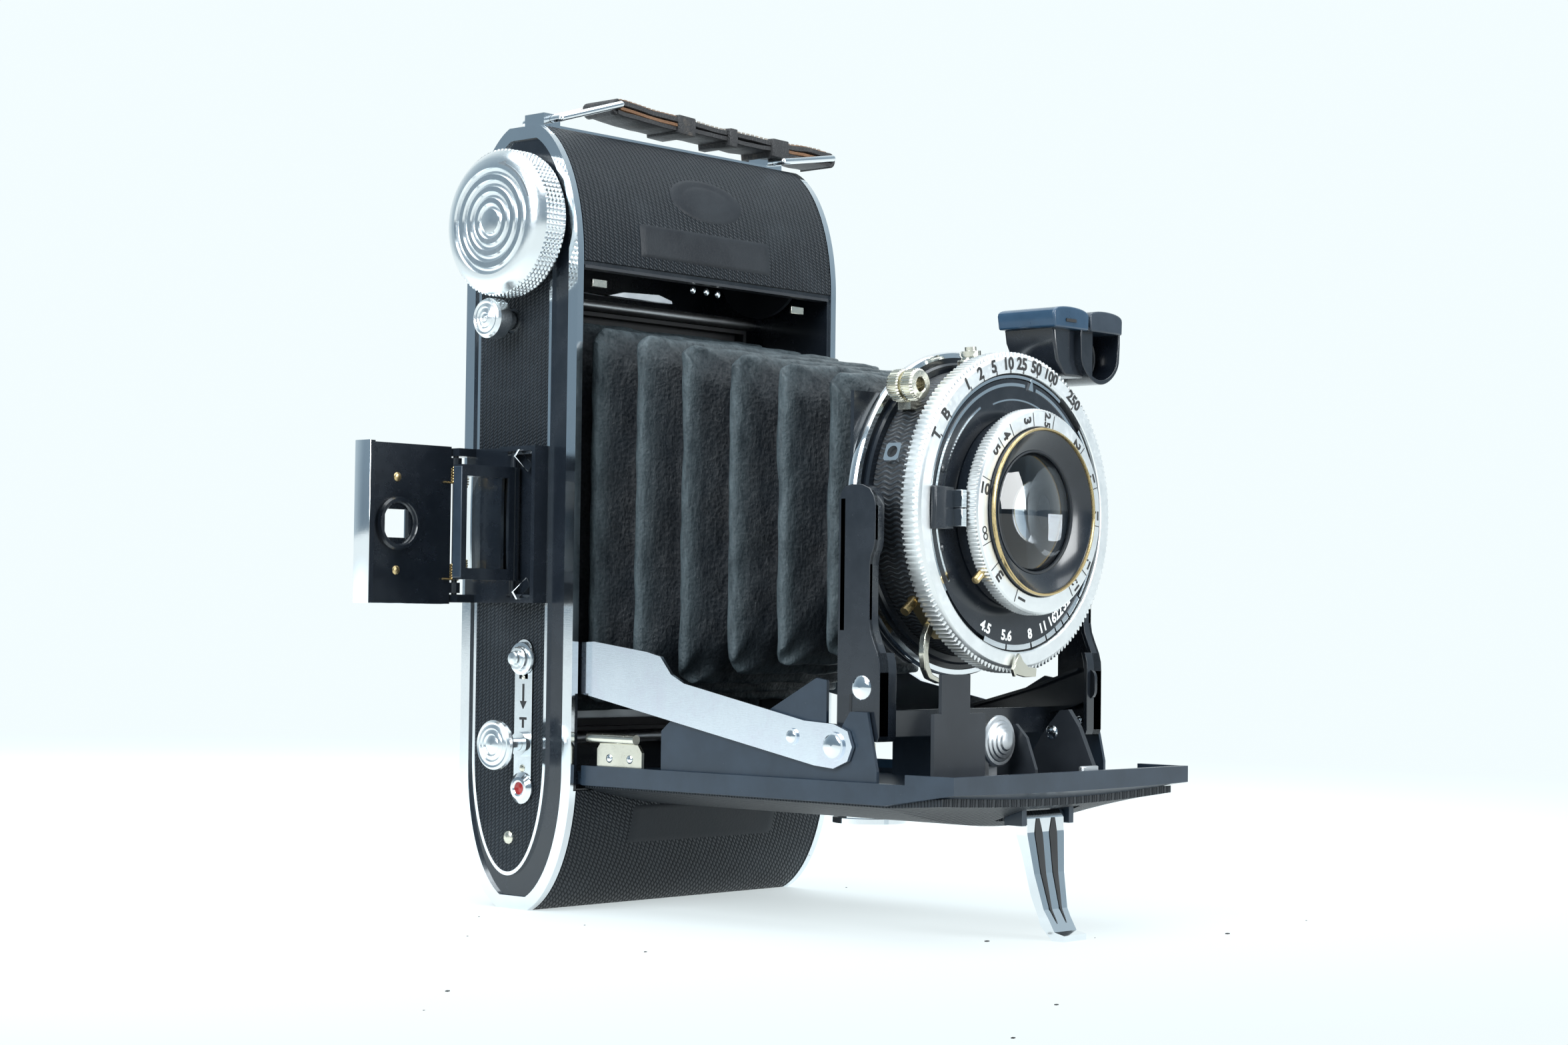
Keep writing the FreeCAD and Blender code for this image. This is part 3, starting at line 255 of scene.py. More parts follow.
def crackle():
    """Black shutter wall cut with wavy lines that run round it."""
    m = Mat("wave_black")
    vec, x, y, z = m.coord()
    zc = m.math("SUBTRACT", z, LZ * MM)
    th = m.math("ARCTAN2", zc, x)
    w = m.math("SINE", m.math("MULTIPLY", y, 2 * math.pi / (3.3 * MM)))
    p = m.math("ADD", m.math("MULTIPLY", th, 2 * math.pi * 27.0 / 1.0), m.math("MULTIPLY", w, 1.7))
    h = m.math("SINE", p)
    h = m.range(h, -0.4, 0.9, 0.0, 1.0)
    n1 = m.noise(900.0, 4.0, 0.7, vec)
    c = m.n("ShaderNodeMix", _data_type="RGBA", i0=m.math("MULTIPLY", h, m.range(n1, 0.35, 0.7, 0.2, 1.0)), i6=col(0.004, 0.005, 0.007), i7=col(0.060, 0.072, 0.085)).outputs[2]
    m.set(Base_Color=c, Roughness=m.range(h, 0.0, 1.0, 0.5, 0.26), Specular_IOR_Level=0.7, Normal=m.bump(h, 0.09 * MM, 1.0))
    return m.m


M["wave_black"] = crackle()


def cloth():
    """Bellows leathercloth: fine pebble, soft creases, fold ridges paler, partly from rubbed wear and partly a painted
    highlight.
    """
    m = Mat("bellows_cloth")
    vec, x, y, z = m.coord()
    at = m.n("ShaderNodeAttribute", _attribute_name="ridge").outputs["Fac"]
    peb = m.n("ShaderNodeTexVoronoi", Vector=vec, Scale=1500.0, _feature="SMOOTH_F1").outputs[0]
    fine = m.noise(2600.0, 5.0, 0.75, vec)
    sq = m.n("ShaderNodeMapping", Vector=vec, Scale=(1.0, 1.0, 0.28)).outputs[0]
    crease = m.noise(330.0, 7.0, 0.75, sq)
    broad = m.noise(60.0, 5.0, 0.7, vec)
    h = m.math("ADD", m.math("MULTIPLY", peb, 0.5), m.math("ADD", m.math("MULTIPLY", fine, 0.35), m.math("MULTIPLY", crease, 1.6)))
    c0 = m.n("ShaderNodeMix", _data_type="RGBA", i0=m.range(broad, 0.35, 0.7, 0.0, 1.0), i6=col(0.002, 0.003, 0.005), i7=col(0.006, 0.009, 0.013)).outputs[2]
    # partly wear and partly painted highlight: the outward fold ridges are coloured paler, where they catch the light
    ridge_wear_and_highlight = m.math("MULTIPLY", at, m.range(crease, 0.30, 0.62, 0.25, 1.0))
    c1 = m.n("ShaderNodeMix", _data_type="RGBA", i0=ridge_wear_and_highlight, i6=c0, i7=col(0.060, 0.080, 0.090)).outputs[2]
    spot = m.range(m.noise(1300.0, 4.0, 0.8, vec), 0.68, 0.72, 0.0, 0.5)
    c2 = m.n("ShaderNodeMix", _data_type="RGBA", i0=spot, i6=c1, i7=col(0.13, 0.14, 0.15)).outputs[2]
    m.set(Base_Color=c2, Roughness=m.range(h, 0.6, 1.7, 0.50, 0.26), Specular_IOR_Level=m.range(h, 0.7, 1.6, 0.04, 0.42), Normal=m.bump(h, 0.34 * MM, 1.0))
    return m.m


M["cloth"] = cloth()


def strap_mat(name, c_dark, c_light, scale=1.0):
    m = Mat(name)
    vec, x, y, z = m.coord()
    n1 = m.noise(160.0 * scale, 6.0, 0.75, vec)
    n2 = m.noise(2400.0, 4.0, 0.7, vec)
    cr = m.n("ShaderNodeTexVoronoi", Vector=vec, Scale=900.0, _feature="DISTANCE_TO_EDGE").outputs[0]
    c = m.ramp(n1, [(0.30, c_dark), (0.58, c_dark), (0.72, c_light)])
    h = m.math("ADD", m.math("MULTIPLY", n2, 0.5), m.range(cr, 0.0, 0.12, 0.0, 0.7))
    m.set(Base_Color=c, Roughness=m.range(n1, 0.3, 0.8, 0.45, 0.7), Specular_IOR_Level=0.45, Normal=m.bump(h, 0.08 * MM, 0.8))
    return m.m


M["strap"] = strap_mat("strap_hide", (0.022, 0.022, 0.024), (0.09, 0.075, 0.062))
M["strap_edge"] = strap_mat("strap_edge", (0.16, 0.075, 0.032), (0.34, 0.19, 0.10))
M["thread"] = strap_mat("thread", (0.30, 0.26, 0.22), (0.42, 0.38, 0.33), 3.0)


# ============================================================ mesh tools (millimetres in, metres out)
class MB:
    def __init__(self):
        self.v, self.f = [], []

    def add(self, verts, faces, mx=None):
        o = len(self.v)
        for p in verts:
            q = Vector(p)
            if mx is not None:
                q = mx @ q
            self.v.append(q)
        for f in faces:
            self.f.append(tuple(i + o for i in f))
        return self

    def box(self, x0, x1, y0, y1, z0, z1, mx=None):
        v = [(x, y, z) for x in (x0, x1) for y in (y0, y1) for z in (z0, z1)]
        f = [(0, 1, 3, 2), (4, 6, 7, 5), (0, 4, 5, 1), (2, 3, 7, 6), (0, 2, 6, 4), (1, 5, 7, 3)]
        return self.add(v, f, mx)

    def lathe(self, prof, segs=96, mx=None, mod=None, close=False):
        """prof: (radius, height) about local Z. mod(i, j, r) may change a radius."""
        v, f = [], []
        n = len(prof)
        for i in range(segs):
            a = 2 * math.pi * i / segs
            for j, (r, h) in enumerate(prof):
                rr = mod(i, j, r) if mod else r
                v.append((rr * math.cos(a), rr * math.sin(a), h))
        rows = n if close else n - 1
        for i in range(segs):
            k = (i + 1) % segs
            for j in range(rows):
                jj = (j + 1) % n
                f.append((i * n + j, k * n + j, k * n + jj, i * n + jj))
        return self.add(v, f, mx)

    def prism(self, pts, h0, h1, mx=None):
        """Closed outline (x, y) extruded along local Z."""
        n = len(pts)
        v = [(p[0], p[1], h0) for p in pts] + [(p[0], p[1], h1) for p in pts]
        f = [tuple(range(n - 1, -1, -1)), tuple(range(n, 2 * n))]
        for i in range(n):
            k = (i + 1) % n
            f.append((i, k, n + k, n + i))
        return self.add(v, f, mx)

    def tube(self, path, r, segs=12, closed=False):
        pts = [Vector(p) for p in path]
        n = len(pts)
        rings = []
        prev = None
        for i, p in enumerate(pts):
            a = pts[(i - 1) % n] if (closed or i > 0) else p
            b = pts[(i + 1) % n] if (closed or i < n - 1) else p
            t = (b - a).normalized()
            if prev is None:
                ref = Vector((0, 0, 1)) if abs(t.z) < 0.9 else Vector((1, 0, 0))
                u = t.cross(ref).normalized()
            else:
                u = (prev - t * prev.dot(t)).normalized()
            prev = u
            w = t.cross(u)
            rr = r(i / max(1, n - 1)) if callable(r) else r
            rings.append([p + (u * math.cos(2 * math.pi * k / segs) + w * math.sin(2 * math.pi * k / segs)) * rr for k in range(segs)])
        v = [q for ring in rings for q in ring]
        f = []
        for i in range(n if closed else n - 1):
            k = (i + 1) % n
            for j in range(segs):
                jj = (j + 1) % segs
                f.append((i * segs + j, i * segs + jj, k * segs + jj, k * segs + j))
        if not closed:
            f.append(tuple(range(segs - 1, -1, -1)))
            f.append(tuple(range((n - 1) * segs, n * segs)))
        return self.add(v, f)

    def build(self, name, mat, body, smooth=40.0, bevel=0.0, replaces=None, slot=None, segs=2):
        me = bpy.data.meshes.new(name)
        me.from_pydata([p * MM for p in self.v], [], self.f)
        me.validate()
        me.update()
        ob = bpy.data.objects.new(name, me)
        bpy.context.scene.collection.objects.link(ob)
        me.materials.append(M[mat] if isinstance(mat, str) else mat)
        import bmesh
        bm = bmesh.new()
        bm.from_mesh(me)
        bmesh.ops.recalc_face_normals(bm, faces=bm.faces)
        bm.to_mesh(me)
        bm.free()
        shade(ob, smooth)
        if bevel:
            b = ob.modifiers.new("edge", "BEVEL")
            b.width = bevel * MM
            b.segments = segs
            b.limit_method = "ANGLE"
            b.angle_limit = math.radians(38)
            b.harden_normals = False
        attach(ob, body)
        if replaces:
            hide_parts(*([replaces] if isinstance(replaces, str) else replaces))
        return ob


def shade(ob, angle=40.0):
    me = ob.data
    for p in me.polygons:
        p.use_smooth = True
    try:
        me.set_sharp_from_angle(angle=math.radians(angle))
    except Exception:
        pass


def axis_matrix(axis, at):
    """Local Z along the named direction, placed at a point."""
    d = {"x": Vector((1, 0, 0)), "-x": Vector((-1, 0, 0)), "y": Vector((0, 1, 0)), "-y": Vector((0, -1, 0)),
         "z": Vector((0, 0, 1)), "-z": Vector((0, 0, -1))}[axis] if isinstance(axis, str) else Vector(axis).normalized()
    up = Vector((0, 0, 1)) if abs(d.z) < 0.9 else Vector((0, 1, 0))
    xx = up.cross(d).normalized()
    yy = d.cross(xx)
    return Matrix.Translation(Vector(at)) @ Matrix((xx, yy, d)).transposed().to_4x4()


_text = {}


def glyphs(s, size):
    key = (s, size)
    if key not in _text:
        cu = bpy.data.curves.new("t", "FONT")
        cu.body = s
        cu.size = size
        cu.align_x = "CENTER"
        cu.align_y = "CENTER"
        cu.extrude = 0.02
        cu.offset = 0.035 * size
        cu.resolution_u = 3
        ob = bpy.data.objects.new("t", cu)
        bpy.context.scene.collection.objects.link(ob)
        bpy.context.view_layer.update()
        dg = bpy.context.evaluated_depsgraph_get()
        me = bpy.data.meshes.new_from_object(ob.evaluated_get(dg))
        _text[key] = ([tuple(v.co) for v in me.vertices], [tuple(p.vertices) for p in me.polygons])
        bpy.data.objects.remove(ob)
        bpy.data.curves.remove(cu)
        bpy.data.meshes.remove(me)
    return _text[key]


def dial_matrix(angle, r, y, spin):
    """On a face that looks to -Y: local x,y to the face's right and up, turned by spin (degrees, anticlockwise)."""
    a = math.radians(angle)
    s = math.radians(spin)
    # seen from -Y, +X is to the right
    ux = Vector((math.cos(s), 0, math.sin(s)))
    uy = Vector((-math.sin(s), 0, math.cos(s)))
    n = Vector((0, -1, 0))
    return Matrix.Translation(Vector((r * math.cos(a), y, LZ + r * math.sin(a)))) @ Matrix((ux, uy, n)).transposed().to_4x4()


def cad(node, mat, bevel=0.12, angle=32.0, segs=2):
    """Finish for a CAD piece that is shown as it is."""
    ob = NODES[node]
    ob.data.materials.clear()
    ob.data.materials.append(M[mat])
    if bevel:
        b = ob.modifiers.new("edge", "BEVEL")
        b.width = bevel * MM
        b.segments = segs
        b.limit_method = "ANGLE"
        b.angle_limit = math.radians(angle)
        b.harden_normals = True
    return ob


# ============================================================ CAD pieces kept, with finishes
cad("body_shell", "black", 0.10)
cad("side_trim_left", "chrome", 0.25, segs=3)
cad("side_trim_right", "chrome", 0.25, segs=3)
cad("side_lines", "chrome", 0.15)
cad("side_leather_left", "side_hide", 0.10)
cad("side_leather_right", "side_hide", 0.10)
cad("front_leather_top", "front_hide", 0.12)
cad("front_leather_bottom", "front_hide", 0.12)
cad("back_leather", "front_hide", 0.12)
cad("bed_leather", "bed_hide", 0.12)
cad("opening_lip", "black_satin", 0.1)
cad("film_gate", "black_inner", 0.1)
cad("film_rollers", "steel", 0.1)
cad("top_plate", "chrome", 0.2)
cad("release_plate", "chrome_rough", 0.12)
cad("finder_base", "black", 0.15)
cad("takeup_spool", "black_satin", 0.1)
cad("supply_spool", "black_satin", 0.1)
cad("back_door", "black", 0.1)
cad("pressure_plate", "steel", 0.1)
cad("window_glass", "red", 0.0)
cad("window_cover", "chrome_rough", 0.1)
cad("back_latch", "chrome", 0.15)
cad("bed_pan", "blue_black", 0.12)
cad("tripod_bush", "chrome", 0.15)
cad("carrier_plates", "blue_black", 0.1)
cad("spring_plungers", "nickel", 0.08)
cad("bed_brackets", "black_satin", 0.15)
cad("strut_left", "strut_chrome", 0.12)
cad("strut_right", "strut_chrome", 0.12)
cad("backing_plate", "black", 0.12)
cad("shutter_housing", "wave_black", 0.15)
cad("face_plate", "black", 0.1)
cad("rear_cell", "black_satin", 0.1)
cad("cocking_lever", "nickel", 0.1)
cad("release_lever", "brass", 0.1)
cad("reflex_top", "blue_black", 0.25, segs=3)
cad("finder_frame", "black", 0.2)

# ============================================================ bellows
def bellows():
    y_rear, y_front = 4.3, -78.4
    ridges = [-2.6 - 11.75 * k for k in range(7)]

    def env(y):
        s = (y_rear - y) / (y_rear - y_front)
        return 33.0 - 6.0 * s, 119.0 - 16.0 * s, 38.0 + 14.5 * s

    stations = [(y_rear, 0.9, 0.0), (y_rear - 2.0, 0.6, 0.0), (y_rear - 4.2, 0.3, 0.2)]
    for k, y in enumerate(ridges):
        for dy, inn, rg in ((1.35, 0.13, 0.6), (0.95, 0.02, 1.0), (0.0, -0.02, 1.0), (-0.95, 0.02, 1.0), (-1.35, 0.13, 0.6)):
            stations.append((y + dy, inn, rg))
        if k < len(ridges) - 1:
            mid = y - 11.75 / 2
            for t, inn, rg in ((-2.4, 0.36, 0.15), (-3.7, 0.62, 0.05), (-4.9, 0.88, 0.0), (-5.875, 1.0, 0.0), (-6.9, 0.88, 0.0), (-8.1, 0.62, 0.05), (-9.4, 0.36, 0.15)):
                stations.append((y + t, inn, rg))
    stations += [(y_front + 0.9, 0.5, 0.1), (y_front, 0.5, 0.0)]
    depth = 6.6
    n_side = 34
    rings, ridge_val = [], []
    for si, (y, inn, rg) in enumerate(stations):
        hx, zt, zb = env(y)
        off = depth * inn
        cham = 2.6 + 6.4 * inn
        hx -= off
        zt -= off * 0.95
        zb += off * 0.95
        pts = []
        corners = [(-hx, zb), (hx, zb), (hx, zt), (-hx, zt)]
        # each side between chamfer ends, then the chamfer itself
        for c in range(4):
            a = Vector(corners[c]).to_2d() if False else Vector((corners[c][0], corners[c][1]))
            b = Vector((corners[(c + 1) % 4][0], corners[(c + 1) % 4][1]))
            d = (b - a).normalized()
            p0, p1 = a + d * cham, b - d * cham
            for i in range(n_side):
                pts.append((p0 + (p1 - p0) * (i / (n_side - 1)), 0.0))
            e = Vector((corners[(c + 2) % 4][0], corners[(c + 2) % 4][1]))
            d2 = (e - b).normalized()
            q1 = b + d2 * cham
            mid = (p1 + q1) / 2
            # fold notch at the corner: pushed in at ridges, out at valleys
            push = (b - mid) * (0.42 if inn > 0.5 else -0.10)
            for i in range(1, 5):
                t = i / 5.0
                w = 1 - abs(2 * t - 1)
                pts.append((p1 + (q1 - p1) * t + push * w, w))
        ring = []
        for p, w in pts:
            q = Vector((p.x, y, p.y))
            # corner zigzag along the camera's length
            q.y += (1.5 if inn < 0.2 else -1.5 * inn) * w * (1 if si % 2 else 0.8)
            amp = 0.42 + 1.0 * w
            s1 = q * 0.16
            q += Vector((noise.noise(s1 + Vector((3.1, 0, 0))), noise.noise(s1 + Vector((0, 7.7, 0))), noise.noise(s1 + Vector((0, 0, 5.5))))) * amp
            s2 = q * 0.55
            q += Vector((noise.noise(s2), 0.4 * noise.noise(s2 + Vector((9, 0, 0))), noise.noise(s2 + Vector((0, 4, 0))))) * (0.22 + 0.30 * w)
            ring.append(q)
        rings.append(ring)
        ridge_val.append(rg)
    n = len(rings[0])
    mb = MB()
    v = [p for r in rings for p in r]
    f = []
    for i in range(len(rings) - 1):
        for j in range(n):
            k = (j + 1) % n
            f.append((i * n + j, i * n + k, (i + 1) * n + k, (i + 1) * n + j))
    mb.add(v, f)
    ob = mb.build("bellows_folds", "cloth", "camera_body", 60.0)
    me = ob.data
    at = me.attributes.new("ridge", "FLOAT", "POINT")
    for i in range(len(me.vertices)):
        at.data[i].value = ridge_val[i // n]
    so = ob.modifiers.new("skin", "SOLIDIFY")
    so.thickness = 0.5 * MM
    so.offset = -1
    ss = ob.modifiers.new("soft", "SUBSURF")
    ss.levels = 1
    ss.render_levels = 1
    return ob


bell = bellows()
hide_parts("bellows")
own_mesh(bell)

# ============================================================ winding knob
def knob():
    R = 14.5
    x_in = -39.2
    rows = [(12.9, 0.0), (13.7, 0.25), (14.1, 0.7)]
    n0 = len(rows)
    nk = 16
    for i in range(nk):
        rows.append((R, 1.0 + 4.9 * i / (nk - 1)))
    n1 = len(rows)
    face = [(13.9, 6.5), (13.1, 7.3), (12.4, 7.75), (11.2, 8.02), (10.6, 8.1), (10.35, 7.75), (9.9, 7.62), (9.5, 7.75), (9.25, 8.02),
            (8.2, 8.05), (7.95, 7.72), (7.5, 7.6), (7.1, 7.72), (6.85, 8.0), (5.9, 8.05), (5.65, 7.72), (5.2, 7.6), (4.8, 7.72), (4.55, 8.0),
            (3.6, 8.05), (3.35, 7.75), (2.95, 7.62), (2.6, 7.75), (2.4, 8.0), (1.4, 8.15), (0.05, 8.2)]
    rows += face
    segs = 264

    def mod(i, j, r):
        if n0 <= j < n1:
            return r + (0.16 if (i % 3 and (j - n0) % 3) else -0.22)
        return r

    mb = MB().lathe(rows, segs, axis_matrix("-x", (x_in, 0, 136)), mod)
    mb.lathe([(0.05, 0), (12.9, 0)], segs, axis_matrix("-x", (x_in, 0, 136)))
    mb.lathe([(0.05, -0.1), (2.5, -0.1), (2.5, -6.2), (0.05, -6.2)], 32, axis_matrix("-x", (x_in, 0, 136)))
    mb.box(-34.0, -28.2, -0.7, 0.7, 133.8, 138.2)
    ob = mb.build("knob_knurled", "chrome_rough", "winder", 25.0, replaces="winding_knob", slot="chrome")
    # turning arrow, engraved and filled dark
    ar = MB()
    mx = axis_matrix("-x", (-47.12, 0, 136))
    r0, r1 = 11.35, 11.85
    pts = []
    a0, a1 = 20, 70
    st = 14
    for i in range(st + 1):
        a = math.radians(a0 + (a1 - a0) * i / st)
        pts.append((r1 * math.cos(a), r1 * math.sin(a)))
    a = math.radians(a1)
    tip = math.radians(a1 + 9)
    pts += [((r1 + 0.5) * math.cos(a), (r1 + 0.5) * math.sin(a)), (11.6 * math.cos(tip), 11.6 * math.sin(tip)), ((r0 - 0.5) * math.cos(a), (r0 - 0.5) * math.sin(a))]
    for i in range(st, -1, -1):
        a = math.radians(a0 + (a1 - a0) * i / st)
        pts.append((r0 * math.cos(a), r0 * math.sin(a)))
    ar.prism(pts, -0.12, 0.06, mx)
    ar.build("knob_arrow", "steel", "winder", 30.0, slot="chrome")


knob()

# ============================================================ bed-release button, release controls
def ringed(name, prof, axis, at, mat, body, segs=72, **kw):
    return MB().lathe(prof, segs, axis_matrix(axis, at)).build(name, mat, body, 28.0, **kw)


btn = MB().lathe([(0.05, 4.4 - 8.8), (2.0, -4.4), (2.0, 2.6), (3.6, 2.6), (4.0, 2.9), (4.0, 5.7), (3.7, 6.25), (3.3, 6.5), (2.9, 6.35), (2.6, 6.5), (2.2, 6.68), (1.9, 6.45),
                   (1.6, 6.6), (1.1, 6.75), (0.8, 6.55), (0.05, 6.8)], 72, axis_matrix("-x", (-38.9, 3.0, 117.2)))
btn.build("bed_button_turned", "chrome_rough", "bed_release", 28.0, slot="chrome")
lever = MB()
lever.box(-34.9, -34.3, -9.0, 4.6, 115.8, 125.0)
lever.prism([(-34.9, 122.4), (-27.0, 122.2), (-22.0, 123.4), (-12.0, 123.8), (-8.2, 122.9), (-8.0, 122.3), (-12.0, 122.2), (-22.0, 121.9 + 0.3)], 11.4, 12.4,
            Matrix(((1, 0, 0, 0), (0, 0, -1, 0), (0, 1, 0, 0), (0, 0, 0, 1))))
lever.box(-34.9, -34.3, -12.5, -9.0, 122.2, 125.0)
lv = lever.build("bed_latch_lever", "steel", "bed_release", 30.0, bevel=0.15, slot="chrome")
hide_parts("bed_button")

tee = MB().lathe([(0.05, -2.7), (1.8, -2.7), (1.8, -2.45), (1.2, -2.4), (1.2, 0.0), (3.2, 0.0), (3.3, 0.35), (3.2, 0.7), (2.55, 0.8), (2.4, 1.0), (2.3, 1.7), (2.1, 1.85), (1.6, 1.85),
                   (1.45, 2.0), (1.4, 2.8), (1.2, 3.05), (0.05, 3.15)], 64, axis_matrix("-x", (-38.65, -2.4, 49.6)))
tee.build("tee_slider_turned", "chrome_rough", "tee", 28.0, replaces="t_slider", slot="chrome")
rel = MB().lathe([(0.05, -8.0), (1.2, -8.0), (1.2, 0.0), (4.3, 0.0), (4.8, 0.35), (5.0, 0.8), (4.85, 1.35), (4.4, 1.75), (4.0, 1.65), (3.7, 1.8), (3.3, 1.9), (3.0, 1.72), (2.7, 1.88),
                   (2.2, 1.98), (1.9, 1.75), (1.6, 1.9), (0.9, 2.05), (0.05, 2.1)], 80, axis_matrix("-x", (-44.9, -2.4, 32.7)))
rel.build("release_button_turned", "chrome_rough", "body_release", 28.0, replaces="release_button", slot="chrome")
bez = MB().lathe([(3.1, 0.0), (3.1, 0.35), (2.6, 0.75), (2.2, 1.05), (1.6, 1.1), (1.25, 0.9), (1.2, 0.3)], 64, axis_matrix("-x", (-38.5, -2.4, 24.0)))
bez.build("indicator_rim", "chrome", "camera_body", 30.0, replaces="indicator_bezel", slot="chrome")
MB().lathe([(0.02, 0.45), (1.24, 0.35)], 40, axis_matrix("-x", (-38.5, -2.4, 24.0))).build("indicator_red", "red", "camera_body", 30.0, slot="red_glass")
# engraved arrow and T on the release plate
en = MB()
side_mx = Matrix(((0, 0, -1, -38.52), (-1, 0, 0, -2.4), (0, 1, 0, 0), (0, 0, 0, 1)))
en.prism([(-0.25, 44.6), (0.25, 44.6), (0.25, 41.2), (0.95, 41.2), (0.0, 39.6), (-0.95, 41.2), (-0.25, 41.2)], -0.05, 0.05, side_mx)
en.prism([(-1.0, 38.0), (1.0, 38.0), (1.0, 37.5), (0.25, 37.5), (0.25, 35.9), (-0.25, 35.9), (-0.25, 37.5), (-1.0, 37.5)], -0.05, 0.05, side_mx)
en.build("release_plate_marks", "black_ink", "camera_body", 30.0, slot="chrome")


def dome(name, mat, body, items, slot="chrome"):
    """Small round rivet heads: (axis, point, radius, height)."""
    mb = MB()
    for axis, at, r, h in items:
        prof = [(r, -0.05)] + [(r * math.cos(t * math.pi / 2), h * math.sin(t * math.pi / 2)) for t in (0.0, 0.2, 0.4, 0.6, 0.8)] + [(0.02, h)]
        mb.lathe(prof, 36, axis_matrix(axis, at))
    return mb.build(name, mat, body, 60.0, slot=slot)


dome("side_rivets", "nickel", "camera_body", [("-x", (-38.25, 1.6, 14.0), 1.35, 0.55), ("-x", (-38.5, -2.4, 27.9), 0.75, 0.3), ("-x", (-38.5, -2.4, 45.9), 0.5, 0.25)])

# ============================================================ folding finder on the side
cov = NODES["finder_cover"]
cad("finder_cover", "black", 0.12)
skin = MB()
cx0, cx1 = -42.6 - 25.0, -42.6 - 1.6
skin.box(cx0 - 0.25, cx1, 14.72, 15.05, 60.2, 92.0)
skin.box(cx0 - 0.28, cx0 - 0.02, 10.4, 15.05, 60.2, 92.0)
sk = skin.build("finder_cover_chrome", "chrome", "finder_rear", 30.0, bevel=0.12, slot="chrome")
# window through the chrome skin
hole = MB().box(cx0 + 6.4, cx0 + 12.4, 12, 17, 73.2, 78.8)
ho = hole.build("cut_tool_window", "chrome", "finder_rear", 30.0)
bo = sk.modifiers.new("win", "BOOLEAN")
bo.operation = "DIFFERENCE"
bo.object = ho
bpy.context.view_layer.update()
dg = bpy.context.evaluated_depsgraph_get()
me2 = bpy.data.meshes.new_from_object(sk.evaluated_get(dg))
sk.modifiers.clear()
sk.data = me2
bpy.data.objects.remove(ho)
shade(sk, 30)
ex, ez = -42.6 - 15.6, 76.0
rim = MB().lathe([(5.35, 0.0), (5.35, 0.7), (5.0, 1.25), (4.4, 1.3), (4.1, 0.9), (3.95, 0.15), (4.3, 0.0)], 72, axis_matrix("-y", (ex, 13.7, ez)), close=True)
rim.build("finder_eye_ring", "black", "finder_rear", 30.0, replaces="finder_eyepiece", slot="steel")
dome("finder_cover_rivets", "brass", "finder_rear", [("-y", (ex, 13.7, ez + 9.2), 0.95, 0.4), ("-y", (ex, 13.7, ez - 9.2), 0.95, 0.4)], "steel")
# coil springs on the rear cover's pin
sp = MB()
for z0, z1 in ((65.2, 68.4), (84.6, 88.0)):
    turns = 6
    path = [(-42.6 + 1.05 * math.cos(t * 2 * math.pi), 14.2 + 1.05 * math.sin(t * 2 * math.pi), z0 + (z1 - z0) * t / turns) for t in [k / 14.0 for k in range(14 * turns + 1)]]
    sp.tube(path, 0.24, 8)
    sp.tube([path[0], (-46.5, 13.3, z0 + 0.1)], 0.2, 8)
sp.build("finder_springs", "brass", "finder_rear", 60.0, slot="steel")
# painted bluish highlight strip along the outer edge of the front frame, and the frame's glass
fr = MB().box(-40.8 - 14.6 - 0.12, -40.8 - 14.6 + 0.9, -1.2 - 1.25, -1.2 + 1.35, 65.3, 87.1)
fr.build("finder_frame_highlight_strip", "blue_black", "finder_front", 30.0, bevel=0.2, slot="black_enamel")


def concave():
    x0, x1, z0, z1 = -40.8 - 13.4, -40.8 - 2.4, 67.2, 85.2
    mb = MB()
    nx, nz = 16, 22
    v, f = [], []
    for side in (0, 1):
        for i in range(nx + 1):
            for j in range(nz + 1):
                u, w = i / nx * 2 - 1, j / nz * 2 - 1
                sag = 0.62 * (u * u * 0.45 + w * w * 0.55)
                y = -1.2 - (0.25 + sag) if side == 0 else -1.2 + 0.55
                v.append((x0 + (x1 - x0) * i / nx, y, z0 + (z1 - z0) * j / nz))
    n = (nx + 1) * (nz + 1)

    def idx(s, i, j):
        return s * n + i * (nz + 1) + j

    for i in range(nx):
        for j in range(nz):
            f.append((idx(0, i, j), idx(0, i + 1, j), idx(0, i + 1, j + 1), idx(0, i, j + 1)))
            f.append((idx(1, i, j), idx(1, i, j + 1), idx(1, i + 1, j + 1), idx(1, i + 1, j)))
    for i in range(nx):
        f.append((idx(0, i, 0), idx(1, i, 0), idx(1, i + 1, 0), idx(0, i + 1, 0)))
        f.append((idx(0, i, nz), idx(0, i + 1, nz), idx(1, i + 1, nz), idx(1, i, nz)))
    for j in range(nz):
        f.append((idx(0, 0, j), idx(0, 0, j + 1), idx(1, 0, j + 1), idx(1, 0, j)))
        f.append((idx(0, nx, j), idx(1, nx, j), idx(1, nx, j + 1), idx(0, nx, j + 1)))
    mb.add(v, f)
    mb.build("finder_front_glass", "finder_glass", "finder_front", 40.0, replaces="finder_lens", slot="glass")


concave()
# pale slanted link bars between the base and the front frame
lk = MB()
for sgn, z in ((1, 88.7), (-1, 63.5)):
    mxx = Matrix.Translation(Vector((-41.3, -4.4, z))) @ Matrix.Rotation(math.radians(38 * sgn), 4, "Y")
    lk.box(-2.4, 2.2, -0.25, 0.25, -1.0, 1.0, mxx)
lk.build("finder_link_bars", "chrome", "camera_body", 30.0, bevel=0.1, slot="black_enamel")
ch = MB()
for z in (61.9, 90.3):
    ch.prism([(-42.1, -8.3), (-39.2, -8.3), (-39.2, 1.2), (-40.4, 1.2)], z - 0.35, z + 0.35)
ch.build("finder_cheeks", "black", "camera_body", 30.0, bevel=0.1, slot="black_enamel")

